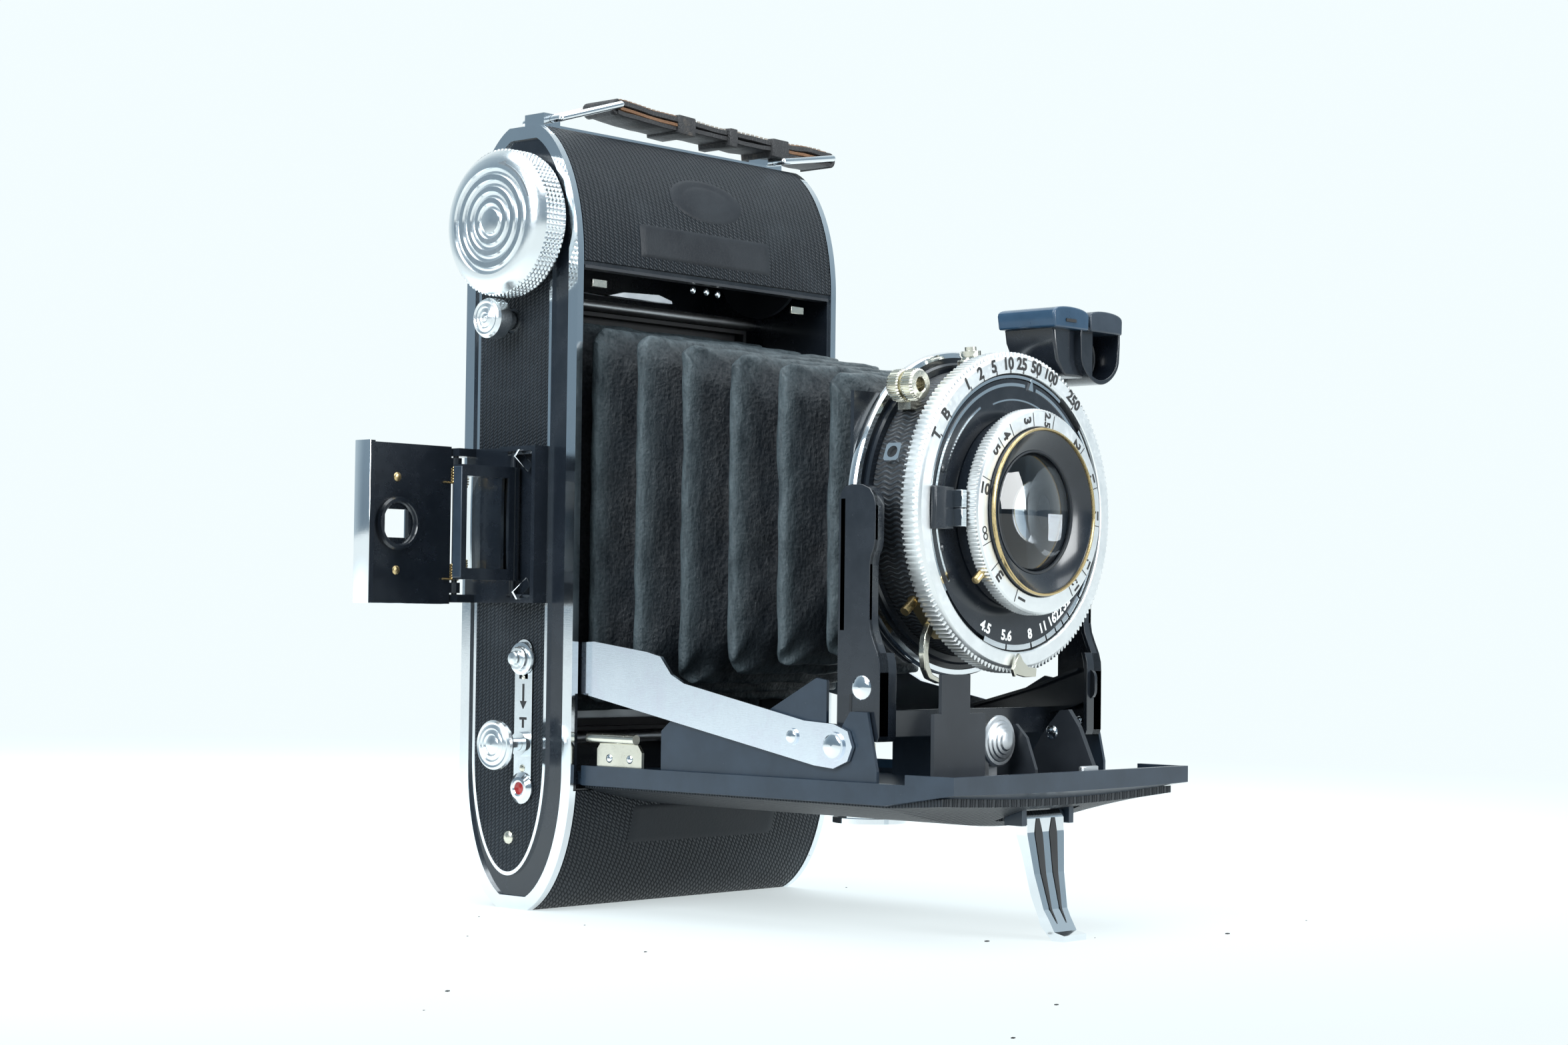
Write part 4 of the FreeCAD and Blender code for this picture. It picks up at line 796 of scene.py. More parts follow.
# ============================================================ shutter and lens
def ring_dial():
    y0, y1 = -91.3, -95.6
    R = 29.7
    teeth = 168
    prof = [(26.0, 0.0), (28.7, 0.0), (28.75, 0.25), (29.05, 0.3), (29.6, 0.45), (29.7, 0.6), (29.7, 3.3), (29.6, 3.5), (29.1, 3.75), (28.9, 4.05), (28.6, 4.28), (26.3, 4.3), (26.05, 4.15), (26.0, 3.9)]

    def mod(i, j, r):
        if 4 <= j <= 7:
            return r + (0.30 if i % 4 < 2 else -0.34)
        return r

    MB().lathe(prof, teeth * 4, axis_matrix("-y", (0, y0, LZ)), mod, close=True).build("speed_ring_toothed", "dial", "speeds", 24.0, replaces="speed_ring", slot="dial_silver")
    ink = MB()
    marks = [("T", 151.6), ("B", 142.0), ("1", 124.4), ("2", 115.3), ("5", 106.4), ("10", 97.2), ("25", 88.6), ("50", 79.4), ("100", 69.6), ("250", 52.4)]
    for s, a in marks:
        v, f = glyphs(s, 3.2 if len(s) < 3 else 2.9)
        ink.add(v, f, dial_matrix(a, 27.72, y1 - 0.03, a - 90))
        ink.box(-0.11, 0.11, -0.42, 0.42, -0.03, 0.05, dial_matrix(a - 1.2, 26.45, y1, a - 90))
    ink.build("speed_numbers", "black_ink", "speeds", 30.0, slot="dial_silver")


ring_dial()


def arc_strip(mb, r0, r1, a0, a1, y, h, steps=48):
    pts = []
    for i in range(steps + 1):
        a = math.radians(a0 + (a1 - a0) * i / steps)
        pts.append((r1 * math.cos(a), r1 * math.sin(a)))
    for i in range(steps, -1, -1):
        a = math.radians(a0 + (a1 - a0) * i / steps)
        pts.append((r0 * math.cos(a), r0 * math.sin(a)))
    # quads rather than one n-gon
    n = steps + 1
    v, f = [], []
    for k, hh in enumerate((0.0, h)):
        for p in pts:
            v.append((p[0], p[1], hh))
    m = 2 * n
    for i in range(n - 1):
        a, b, c, d = i, i + 1, m - 2 - i, m - 1 - i
        f.append((a, b, c, d))
        f.append((m + a, m + d, m + c, m + b))
    for i in range(m):
        k = (i + 1) % m
        f.append((i, k, m + k, m + i))
    mb.add(v, f, Matrix.Translation(Vector((0, y, LZ))) @ Matrix(((1, 0, 0), (0, 0, -1), (0, 1, 0))).to_4x4())


arcs = MB()
arc_strip(arcs, 25.15, 25.7, 58, 176, -94.8, 0.16, 80)
arc_strip(arcs, 23.6, 24.2, 84, 172, -94.8, 0.16, 60)
arc_strip(arcs, 23.6, 24.2, 44, 76, -94.8, 0.16, 30)
arc_strip(arcs, 21.6, 22.0, 120, 170, -94.8, 0.14, 40)
arc_strip(arcs, 25.15, 25.7, 186, 216, -94.8, 0.16, 30)
arc_strip(arcs, 23.4, 23.9, 188, 214, -94.8, 0.14, 30)
arc_strip(arcs, 20.9, 21.2, 70, 110, -94.8, 0.14, 30)
for a0, a1 in ((248.5, 263.5), (264.5, 281.0), (282.0, 292.2), (293.1, 299.8), (300.6, 305.6), (306.4, 311.0), (311.8, 322.0)):
    arc_strip(arcs, 24.7, 25.7, a0, a1, -94.8, 0.16, 12)
arc_strip(arcs, 25.15, 25.7, 322.8, 400, -94.8, 0.12, 60)
# pointer for the speeds
a = math.radians(79.9)
arcs.prism([(-0.75, -1.1), (0.75, -1.1), (0.0, 1.5)], 0.0, 0.3, dial_matrix(79.9, 24.5, -94.8, -10.1))
arcs.build("face_plate_lines", "chrome", "standard", 30.0, slot="chrome")
ap = MB()
for s, ang in (("4.5", 248.0), ("5.6", 264.0), ("8", 282.0), ("11", 292.6), ("16", 300.4), ("22", 306.6), ("32", 313.6)):
    v, f = glyphs(s, 2.6)
    ap.add(v, f, dial_matrix(ang, 23.15, -94.84, ang + 90))
ap.build("aperture_numbers", "white_ink", "standard", 30.0, slot="chrome")
# index block at the focus ring, with its two screws
ib = MB()
ib.box(-25.9, -20.6, -96.7, -94.8, LZ - 3.9, LZ + 3.9)
ib.box(-20.6, -19.9, -98.2, -94.8, LZ - 3.4, LZ + 3.4)
ib.build("focus_index_block", "black", "standard", 30.0, bevel=0.2, slot="black_enamel")
im = MB().box(-20.75, -19.35, -98.6, -95.9, LZ - 3.3, LZ - 0.12).box(-20.75, -19.35, -98.6, -95.9, LZ + 0.12, LZ + 3.3)
im.build("focus_index_mark", "chrome", "standard", 30.0, bevel=0.08, slot="chrome")
dome("face_screws", "black", "standard", [("-y", (-21.6, -94.8, LZ + 7.2), 0.8, 0.35), ("-y", (-21.6, -94.8, LZ - 7.2), 0.8, 0.35), ("-y", (21.0, -94.8, LZ + 8.0), 0.8, 0.35), ("-y", (20.0, -94.8, LZ - 11.0), 0.8, 0.35)], "black_enamel")


def focus():
    # heights forward from y = -94.95
    prof = [(15.7, 2.9), (18.8, 2.9), (19.05, 3.05), (19.05, 5.05), (18.95, 5.4), (18.6, 5.72), (18.4, 5.75), (15.9, 5.75), (15.7, 5.6)]
    teeth = 150

    def mod(i, j, r):
        if 2 <= j <= 3:
            return r + (0.13 if i % 4 < 2 else -0.16)
        return r

    MB().lathe(prof, teeth * 4, axis_matrix("-y", (0, -94.97, LZ)), mod, close=True).build("focus_ring_knurled", "dial", "front_cell", 24.0, replaces="focus_ring", slot="dial_silver")
    MB().lathe([(15.7, 0.0), (17.9, 0.0), (18.0, 0.3), (18.0, 2.6), (17.7, 2.9), (15.7, 2.9)], 128, axis_matrix("-y", (0, -94.97, LZ)), close=True).build("focus_step", "black", "front_cell", 40.0, slot="black_enamel")
    nr = MB().lathe([(12.2, 0.3), (15.6, 0.3), (15.6, 6.3), (15.15, 6.55), (14.9, 6.45), (14.7, 6.2), (12.0, 4.75), (11.5, 4.6), (11.2, 4.4), (11.15, 3.0), (11.6, 1.5)], 160, axis_matrix("-y", (0, -94.97, LZ)), close=True)
    nr.build("name_ring_cone", "black", "front_cell", 30.0, replaces="name_ring", slot="black_enamel")
    y = -94.97 - 5.75
    ink = MB()
    items = [("10", 168.0), ("5", 141.4), ("4", 128.0), ("3", 104.6), ("2.5", 84.0), ("2", 49.5), ("1.7", 23.2), ("1.5", 0.0), ("1.3", -31.8), ("1.2", -50.0), ("1", 251.5), ("m", 224.0)]
    for s, ang in items:
        v, f = glyphs(s, 2.9 if len(s) < 3 else 2.3)
        ink.add(v, f, dial_matrix(ang, 17.2, y - 0.03, ang - 180))
        ink.box(-1.25, 1.25, -0.08, 0.08, -0.03, 0.05, dial_matrix(ang - 6.6, 17.2, y, ang - 6.6))
    for k in (-0.62, 0.62):
        c = dial_matrix(195.0, 17.2, y - 0.03, 105.0)
        v = []
        f = []
        st = 20
        for i in range(st):
            t = 2 * math.pi * i / st
            for r in (0.42, 0.66):
                for h in (-0.02, 0.02):
                    v.append((k + r * 1.05 * math.cos(t), r * math.sin(t), h))
        for i in range(st):
            j = (i + 1) % st
            b, c2 = i * 4, j * 4
            f += [(b, b + 2, c2 + 2, c2), (b + 1, c2 + 1, c2 + 3, b + 3), (b, c2, c2 + 1, b + 1), (b + 2, b + 3, c2 + 3, c2 + 2)]
        ink.add(v, f, c)
    ink.box(-1.25, 1.25, -0.08, 0.08, -0.03, 0.05, dial_matrix(201.5, 17.2, y, 201.5))
    ink.build("focus_numbers", "black_ink", "front_cell", 30.0, slot="dial_silver")
    # brass stop pin on the rim
    MB().lathe([(0.02, 2.3), (0.7, 2.25), (0.8, 2.0), (0.8, 0.0)], 24, axis_matrix((math.cos(math.radians(218)), 0, math.sin(math.radians(218))),
               (19.0 * math.cos(math.radians(218)), -98.6, LZ + 19.0 * math.sin(math.radians(218))))).build("focus_stop_pin", "brass", "front_cell", 30.0, slot="nickel")
    # brass edge of the name ring, steps of the black cone
    MB().lathe([(15.05, 6.6), (15.2, 7.02), (15.5, 7.0), (15.62, 6.6), (15.5, 6.2), (15.1, 6.2)], 128, axis_matrix("-y", (0, -94.97, LZ)), close=True).build("name_ring_edge", "brass", "front_cell", 40.0, slot="nickel")
    MB().lathe([(11.0, 4.5), (11.2, 4.75), (11.5, 4.7), (11.5, 4.2), (11.0, 4.2)], 128, axis_matrix("-y", (0, -94.97, LZ)), close=True).build("glass_retainer", "black_satin", "front_cell", 40.0, slot="black_enamel")


focus()


def optics():
    """Front glass, dark barrel and the glass behind them."""
    R = 10.95
    prof = []
    sag = 2.6
    rad = (R * R + sag * sag) / (2 * sag)
    st = 18
    for i in range(st + 1):
        r = R * (1 - i / st)
        prof.append((max(r, 0.01), 2.1 - (rad - math.sqrt(rad * rad - r * r)) + sag * 0.0))
    back = [(0.01, -1.6), (R * 0.5, -1.45), (R, -0.9)]
    mb = MB().lathe(back + prof, 96, axis_matrix("-y", (0, -99.4, LZ)))
    mb.build("front_glass", "blue_glass", "front_cell", 50.0, replaces="front_lens", slot="glass")
    MB().lathe([(11.1, 3.2), (10.9, 0.0), (10.6, -0.6), (9.6, -2.6), (9.4, -3.4), (8.9, -3.6)], 96, axis_matrix("-y", (0, -95.2, LZ))).build("lens_barrel", "black_satin", "standard", 40.0, slot="black_enamel")
    # second glass
    p2 = []
    for i in range(13):
        r = 9.2 * (1 - i / 12)
        p2.append((max(r, 0.01), -0.9 + 1.2 * (1 - (r / 9.2) ** 2)))
    MB().lathe([(0.01, -2.2), (9.2, -2.0)] + p2, 80, axis_matrix("-y", (0, -93.2, LZ))).build("inner_glass", "dark_glass", "standard", 50.0, slot="glass")


optics()

# chrome edge of the round backing plate and a black inner step
MB().lathe([(30.2, 0.0), (30.62, 0.05), (30.75, 0.5), (30.75, 1.5), (30.5, 1.9), (29.6, 2.0), (29.5, 1.7)], 160, axis_matrix("-y", (0, -79.75, LZ)), close=True).build("backing_edge", "chrome", "standard", 35.0, slot="chrome")
MB().lathe([(27.02, 0.0), (28.6, 0.0), (28.6, 0.9), (28.2, 1.3), (27.1, 1.4)], 128, axis_matrix("-y", (0, -81.2, LZ))).build("backing_step", "black", "standard", 35.0, slot="black_enamel")


def radial(angle, r, y, tilt=0.0):
    a = math.radians(angle)
    return axis_matrix((math.cos(a), 0, math.sin(a)), (r * math.cos(a), y, LZ + r * math.sin(a)))


# cable socket: knurled barrel lying forward, plus the square tapped boss and the cocking stud
def socket():
    x, z = -21.9, 101.1
    teeth = 30
    prof = [(2.2, 0.0), (2.75, 0.1), (2.9, 0.5), (2.9, 2.4), (2.75, 2.8), (2.1, 2.9), (2.1, 3.3), (2.7, 3.4), (2.85, 3.8), (2.85, 5.6), (2.6, 6.1), (1.5, 6.2), (1.3, 6.0), (1.3, 1.6), (0.02, 1.6)]

    def mod(i, j, r):
        if j in (2, 3, 8, 9):
            return r + (0.12 if i % 4 < 2 else -0.12)
        return r

    mb = MB().lathe(prof, teeth * 4, axis_matrix("-y", (x, -83.6, z)), mod)
    mb.box(x + 0.6, x + 3.6, -86.8, -83.8, z - 4.4, z - 0.6)
    mb.build("cable_socket_knurled", "nickel", "standard", 24.0, replaces="cable_socket", slot="nickel")
    b = MB()
    mx = radial(158.5, 26.6, -86.6)
    s = 1.75
    out = [(-s, -s), (s, -s), (s, s), (-s, s)]
    st = 24
    v, f = [], []
    for h in (0.0, 1.5):
        for i in range(st):
            t = 2 * math.pi * (i + 0.5) / st
            c, sn = math.cos(t), math.sin(t)
            k = s / max(abs(c), abs(sn))
            v.append((c * k, sn * k, h))
            v.append((c * 1.15, sn * 1.15, h))
    for i in range(st):
        j = (i + 1) % st
        f.append((2 * st + 2 * i, 2 * st + 2 * j, 2 * st + 2 * j + 1, 2 * st + 2 * i + 1))
        f.append((2 * i, 2 * st + 2 * i, 2 * st + 2 * j, 2 * j))
        f.append((2 * i + 1, 2 * j + 1, 2 * st + 2 * j + 1, 2 * st + 2 * i + 1))
    b.add(v, f, mx)
    b.build("tapped_boss", "chrome", "standard", 30.0, slot="chrome")
    # painted shade: a black disc closes the boss's hole, standing in for the shade down its thread
    MB().lathe([(0.02, 0.55), (1.15, 0.5)], 24, mx).build("tapped_boss_hole_shade", "black_inner", "standard", 30.0, slot="black_enamel")


socket()
stud = MB().lathe([(2.5, -0.6), (2.5, 0.2), (2.3, 0.5), (1.7, 0.6), (1.65, 1.1), (1.9, 1.2), (1.9, 1.8), (1.6, 2.1), (0.9, 2.2), (0.85, 2.7), (0.02, 2.8)], 48, radial(95.5, 28.5, -86.0))
stud.build("cocking_stud", "nickel", "cocking", 28.0, slot="nickel")

# aperture pointer: pale flag over the ring's foot
pt = MB()
mxp = Matrix.Translation(Vector((0, -96.0, LZ))) @ Matrix(((1, 0, 0), (0, 0, -1), (0, 1, 0))).to_4x4()
pt.prism([(-0.7, -26.2), (-1.9, -27.6), (-2.6, -29.4), (-1.4, -30.2), (1.2, -30.7), (4.4, -30.6), (4.6, -29.0), (2.2, -28.8), (0.6, -27.8)], 0.0, 0.7, mxp)
pt.prism([(-2.9, -29.2), (-1.9, -28.0), (-1.2, -29.6), (-2.2, -30.6)], 0.15, 0.9, mxp)
pt.build("aperture_flag", "nickel", "aperture", 30.0, bevel=0.12, replaces="aperture_pointer", slot="nickel")

# ============================================================ standard: rivets, and dark strips painted as the shade in its slits
dome("standard_rivets", "chrome", "standard", [("-x", (-33.8, -86.4, 45.8), 2.3, 0.6), ("x", (33.8, -86.4, 45.8), 2.3, 0.6)])
# painted shade: thin black strips stand in for the shade inside the standard's slits
sl = MB()
for sgn in (-1, 1):
    sl.box(sgn * 33.82 - 0.04, sgn * 33.82 + 0.04, -84.2, -83.6, 39.9, 44.6)
sl.build("standard_slit_shade", "black_inner", "standard", 30.0, slot="black_enamel")
dome("strut_pins", "chrome", "brace_left", [("-x", (-36.1, -81.6, 35.2), 2.3, 0.45), ("-x", (-36.05, -71.6, 36.6), 1.3, 0.35)])
dome("strut_pins_far", "chrome", "brace_right", [("x", (36.1, -81.6, 35.2), 2.3, 0.45), ("x", (36.05, -71.6, 36.6), 1.3, 0.35)])
dome("bed_rivets", "chrome", "bed", [("-x", (-34.8, -23.2, 30.6), 0.85, 0.35), ("-x", (-34.8, -28.8, 30.6), 0.85, 0.35), ("-x", (12.0, -94.8, 37.2), 1.4, 0.5)])
dome("standard_rivet_far", "chrome", "standard", [("-x", (32.8, -87.2, 46.2), 1.9, 0.6), ("-x", (32.8, -86.0, 38.8), 0.9, 0.4)])


def rounded(pts, rad, n=5):
    """Closed outline with every corner rounded; rad may be one radius or one per point."""
    out = []
    m = len(pts)
    for i in range(m):
        p0, p1, p2 = Vector(pts[i - 1]), Vector(pts[i]), Vector(pts[(i + 1) % m])
        r = rad[i] if isinstance(rad, (list, tuple)) else rad
        a, b = (p0 - p1), (p2 - p1)
        la, lb = a.length, b.length
        c = min(r, la * 0.48, lb * 0.48)
        q0, q1 = p1 + a / la * c, p1 + b / lb * c
        for k in range(n + 1):
            t = k / n
            q = q0 * (1 - t) ** 2 + p1 * 2 * t * (1 - t) + q1 * t * t
            out.append((q.x, q.y))
    return out


YZ = Matrix(((0, 0, 1, 0), (1, 0, 0, 0), (0, 1, 0, 0), (0, 0, 0, 1)))      # local (y, z) extruded along +X
XZ = Matrix(((1, 0, 0, 0), (0, 0, -1, 0), (0, 1, 0, 0), (0, 0, 0, 1)))     # local (x, z) extruded along -Y


def standard_mesh():
    edge = [(-83.6, 82.5), (-86.0, 82.4), (-87.8, 81.7), (-88.9, 80.3), (-89.2, 78.6), (-89.2, 72.4), (-88.9, 70.9), (-88.3, 69.6), (-88.0, 68.0), (-88.0, 58.0),
            (-88.3, 56.2), (-89.1, 54.2), (-90.0, 52.2), (-90.5, 50.4), (-90.6, 48.6), (-90.6, 37.2), (-90.2, 36.2)]
    rear = [(-80.6, 36.2), (-80.6, 79.6), (-81.0, 81.0), (-81.9, 82.1)]
    mb = MB()
    for sx in (-1, 1):
        xa, xb = sorted((sx * 33.8, sx * 32.9))
        mb.prism(edge + rear, xa, xb, YZ)
    # the sheet turns inward along its whole front edge, wider below
    for sx in (-1, 1):
        for pts, w in ((edge, 31.2), (edge[12:], 29.0)):
            back = [(y + 0.85, z - (0.7 if z > 81.5 else 0.0)) for y, z in pts]
            xa, xb = sorted((sx * 33.75, sx * w))
            mb.prism(pts + back[::-1], xa, xb, YZ)
        xa, xb = sorted((sx * 29.0, sx * 33.8))
        mb.box(xa, xb, -82.2, -81.0, 56.0, 80.0)
    mb.prism(rounded([(-33.0, 36.4), (33.0, 36.4), (33.0, 41.4), (-33.0, 41.4)], 0.8), 79.9, 81.0, XZ)
    ob = mb.build("standard_sheet", "black", "standard", 40.0, bevel=0.1, segs=2, slot="black_enamel")
    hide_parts("standard_frame")


standard_mesh()
# stepped locking knob
lkm = MB().lathe([(0.05, 0.0), (3.0, 0.0), (3.0, 0.5), (4.5, 0.6), (4.7, 0.85), (4.7, 1.4), (4.4, 1.65), (3.85, 1.7), (3.7, 1.95), (3.2, 2.1), (3.05, 2.4), (2.5, 2.55), (2.3, 2.85),
                  (1.8, 3.0), (1.5, 3.3), (0.9, 3.45), (0.05, 3.5)], 84, axis_matrix("-y", (-9.4, -97.4, 36.2)))
lkm.box(-10.6, -8.2, -97.4, -96.3, 22.6, 38.0)
lkm.build("lock_knob_turned", "steel", "bed", 26.0, replaces="lock_knob", slot="chrome")
# far link of the spreader: bent channel
lnk = MB()
lnk.prism(rounded([(-91.6, 43.6), (-91.6, 48.6), (-88.8, 49.4), (-78.0, 45.6), (-62.0, 41.4), (-60.6, 38.2), (-63.0, 36.4), (-86.0, 41.4)], 1.4), 30.2, 31.0, YZ)
lnk.prism(rounded([(-88.6, 49.2), (-78.0, 45.6), (-62.0, 41.4), (-62.0, 40.8), (-78.0, 45.0), (-88.4, 48.6)], 0.2), 28.6, 31.0, YZ)
lnk.build("spreader_link_far", "black", "bed", 30.0, bevel=0.15, slot="black_enamel")
# hooked release arm under the shutter
hk = MB()
mxh = Matrix.Translation(Vector((0, -88.4, 0))) @ XZ
hook = [(-12.6, 57.6), (-14.4, 58.6), (-16.4, 58.9), (-18.4, 57.8), (-19.9, 55.2), (-20.3, 52.0), (-19.8, 49.2), (-18.6, 47.4), (-15.2, 46.4), (-15.0, 47.3),
        (-17.6, 48.2), (-18.5, 49.8), (-18.9, 52.2), (-18.5, 54.6), (-17.4, 56.4), (-16.2, 57.0), (-14.8, 56.8), (-13.4, 56.0)]
hk.prism(rounded(hook, 0.35, 2), 0.0, 1.3, mxh)
hk.build("release_hook", "nickel", "standard", 40.0, bevel=0.15, slot="nickel")
# painted bluish highlight strip along the bed rims, tab on the front rim
bs = MB()
for sx in (-1, 1):
    bs.box(min(sx * 34.95, sx * 34.86), max(sx * 34.95, sx * 34.86), -93.0, -17.6, 27.2, 28.9)
bs.build("bed_rim_highlight_strip", "blue_painted_highlight", "bed", 30.0, slot="black_enamel")
MB().box(3.0, 8.0, -108.6, -107.6, 29.2, 31.6).build("bed_front_tab", "steel", "bed", 30.0, bevel=0.2, slot="chrome")

# ============================================================ reflex finder
def tube_shape(outline, y0, y1, mb, wall=0.9):
    """Open-ended duct with the given closed outline (x, z), from y0 (front) to y1, with a wall."""
    n = len(outline)
    cx = sum(p[0] for p in outline) / n
    cz = sum(p[1] for p in outline) / n
    inner = []
    for x, z in outline:
        dx, dz = cx - x, cz - z
        L = math.hypot(dx, dz)
        inner.append((x + dx / L * wall, z + dz / L * wall))
    v = [(x, y0, z) for x, z in outline] + [(x, y1, z) for x, z in outline] + [(x, y0, z) for x, z in inner] + [(x, y1 - 1.0, z) for x, z in inner]
    f = []
    for i in range(n):
        j = (i + 1) % n
        f += [(i, j, n + j, n + i), (i, 2 * n + i, 2 * n + j, j), (2 * n + i, 3 * n + i, 3 * n + j, 2 * n + j)]
    f.append(tuple(range(n, 2 * n)))
    f.append(tuple(range(4 * n - 1, 3 * n - 1, -1)))
    mb.add(v, f)


def reflex():
    y0, y1 = -94.2, -81.0
    # square hopper under the left lobe
    hb = MB()
    v, f = [], []
    for z, ix, iy in ((114.8, 0.0, 0.0), (112.0, 0.3, 0.2), (108.4, 1.2, 1.2), (106.2, 3.0, 2.6), (105.4, 4.4, 4.0)):
        v += [(13.9 + ix, y0 + 1.2, z), (27.0, y0 + 1.2, z), (27.0, y1 - iy, z), (13.9 + ix, y1 - iy, z)]
    for k in range(4):
        for i in range(4):
            j = (i + 1) % 4
            f.append((k * 4 + i, k * 4 + j, k * 4 + 4 + j, k * 4 + 4 + i))
    f += [(0, 1, 2, 3), (19, 18, 17, 16)]
    hb.add(v, f)
    b = hb.build("reflex_hopper", "black", "standard", 35.0, bevel=0.45, segs=3, slot="black_enamel")
    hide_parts("reflex_body")
    # rounded hood with the taking lens deep inside it
    out = []
    for i in range(25):
        t = math.pi + math.pi * i / 24
        out.append((27.2 + 6.3 * math.cos(t) * (1 - 0.16 * math.sin(-t) ** 2), 109.6 + 5.3 * math.sin(t)))
    out += [(33.7, 112.5), (33.7, 115.2), (20.7, 115.2), (20.7, 112.5)]
    hm = MB()
    tube_shape(out, y0 - 0.3, y1 + 0.6, hm)
    hm.build("reflex_hood", "black", "standard", 35.0, bevel=0.12, slot="black_enamel")
    prof = [(4.55, 0.0)] + [(4.55 * math.cos(t * math.pi / 2), 1.5 * math.sin(t * math.pi / 2)) for t in (0.25, 0.5, 0.75)] + [(0.01, 1.5)]
    g = MB().lathe(prof, 56, axis_matrix("-y", (27.2, -89.0, 109.9))).build("reflex_front_glass", "dark_glass", "standard", 60.0, slot="glass")
    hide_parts("reflex_lens")
    MB().lathe([(4.5, 0.0), (4.95, 0.0), (5.0, 0.5), (4.75, 0.8), (4.5, 0.6)], 56, axis_matrix("-y", (27.2, -89.0, 109.9)), close=True).build("reflex_rim", "black_satin", "standard", 40.0, slot="black_enamel")
    # deep two-lobed cap, and a thin black box painted as the shade in its small slot
    # painted highlight: the left lobe, toward the key lamp, gets the lighter blue paint and the right lobe the plain
    # blue-black
    for nm, xa, xb, mt in (("left", 11.6, 23.0, "blue_painted_highlight"), ("right", 23.2, 34.1, "blue_black")):
        st = 14
        pts = []
        for i in range(st + 1):
            t = math.pi * i / st
            pts.append((xa + (xb - xa) * (1 - math.cos(t)) / 2, 117.0 + 1.6 * math.sin(t) ** 0.7))
        pts += [(xb - 0.1, 114.4), (xa + 0.5, 114.4)]
        top = MB().prism(pts, 81.1, 94.8, Matrix(((1, 0, 0, 0), (0, 0, -1, 0), (0, 1, 0, 0), (0, 0, 0, 1))))
        t = top.build("reflex_lobe_" + nm, mt, "standard", 35.0, bevel=0.35, segs=3, slot="black_enamel")
        if nm == "left":
            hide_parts("reflex_top")
    # painted shade: a thin black box stands in for the shade inside the cap's slot
    MB().box(15.4, 18.6, -95.0, -94.7, 115.6, 116.2).build("reflex_slot_shade", "black_ink", "standard", 30.0, slot="black_enamel")
    MB().box(18.0, 30.0, -81.1, -80.0, 100.0, 108.0).build("reflex_stem", "black", "standard", 30.0, bevel=0.15, slot="black_enamel")


reflex()

# ============================================================ foot
cad("bed_foot", "chrome", 0.25, segs=3)
fl = MB()


def foot_y(z):
    pts = [(22.4, -102.38), (19.5, -102.5), (12.0, -103.4), (5.5, -104.9), (1.6, -107.2)]
    for (z1, y1), (z0, y0) in zip(pts, pts[1:]):
        if z0 <= z <= z1:
            return y0 + (y1 - y0) * (z - z0) / (z1 - z0)
    return pts[-1][1]


for sx in (-1, 1):
    v, f = [], []
    st = 26
    for i in range(st + 1):
        t = i / st
        z = 22.0 - 19.0 * t
        cxm = sx * (2.35 - 0.95 * t)
        w = 1.25 * (1 - t) ** 0.75 * (0.35 + 0.65 * min(1, t * 7)) + 0.05
        y = foot_y(z)
        for dx in (-w, 0.0, w):
            v.append((cxm + dx, y - (0.10 if dx else 0.04), z))
    for i in range(st):
        for k in (0, 1):
            a = i * 3 + k
            f.append((a, a + 1, a + 4, a + 3))
    fl.add(v, f)
flo = fl.build("foot_flutes", "black_ink", "foot", 60.0, slot="black_enamel")

# ============================================================ embossed plaques on the leather
def skin_y(z, out=0.0):
    a, b = 16.25 + out, 29.0 + out
    if z > 128.0:
        return -a * math.sqrt(max(0.0, 1 - ((z - 128.0) / b) ** 2))
    if z < 28.0:
        return -a * math.sqrt(max(0.0, 1 - ((28.0 - z) / b) ** 2))
    return -a


def plaque(name, x0, x1, z0, z1, lift=0.22, r=1.2, mat="front_plain"):
    mb = MB()
    nx, nz = 40, 14
    v, f = [], []
    for i in range(nx + 1):
        for j in range(nz + 1):
            x = x0 + (x1 - x0) * i / nx
            z = z0 + (z1 - z0) * j / nz
            edge = min(x - x0, x1 - x, z - z0, z1 - z)
            h = lift * min(1.0, edge / 0.35)
            v.append((x, skin_y(z, h - 0.02), z))
    for i in range(nx):
        for j in range(nz):
            a = i * (nz + 1) + j
            f.append((a, a + nz + 1, a + nz + 2, a + 1))
    mb.add(v, f)
    return mb.build(name, mat, "camera_body", 60.0, slot="leather_black")


def plain_hide():
    m = Mat("front_plain")
    vec, x, y, z = m.coord()
    peb = m.n("ShaderNodeTexVoronoi", Vector=vec, Scale=1800.0, _feature="SMOOTH_F1").outputs[0]
    n2 = m.noise(3000.0, 4.0, 0.7, vec)
    h = m.math("ADD", m.math("MULTIPLY", peb, 0.6), m.math("MULTIPLY", n2, 0.6))
    n1 = m.noise(90.0, 5.0, 0.65, vec)
    m.set(Base_Color=m.ramp(n1, [(0.3, (0.008, 0.010, 0.014)), (0.7, (0.016, 0.020, 0.025))]), Roughness=m.range(n1, 0.3, 0.7, 0.40, 0.54), Specular_IOR_Level=0.3,
          Normal=m.bump(h, 0.06 * MM, 0.8))
    return m.m


M["front_plain"] = plain_hide()
plaque("upper_plaque", -21.0, 17.5, 130.4, 137.2)
plaque("lower_plaque", -20.5, 22.0, 13.0, 20.6)


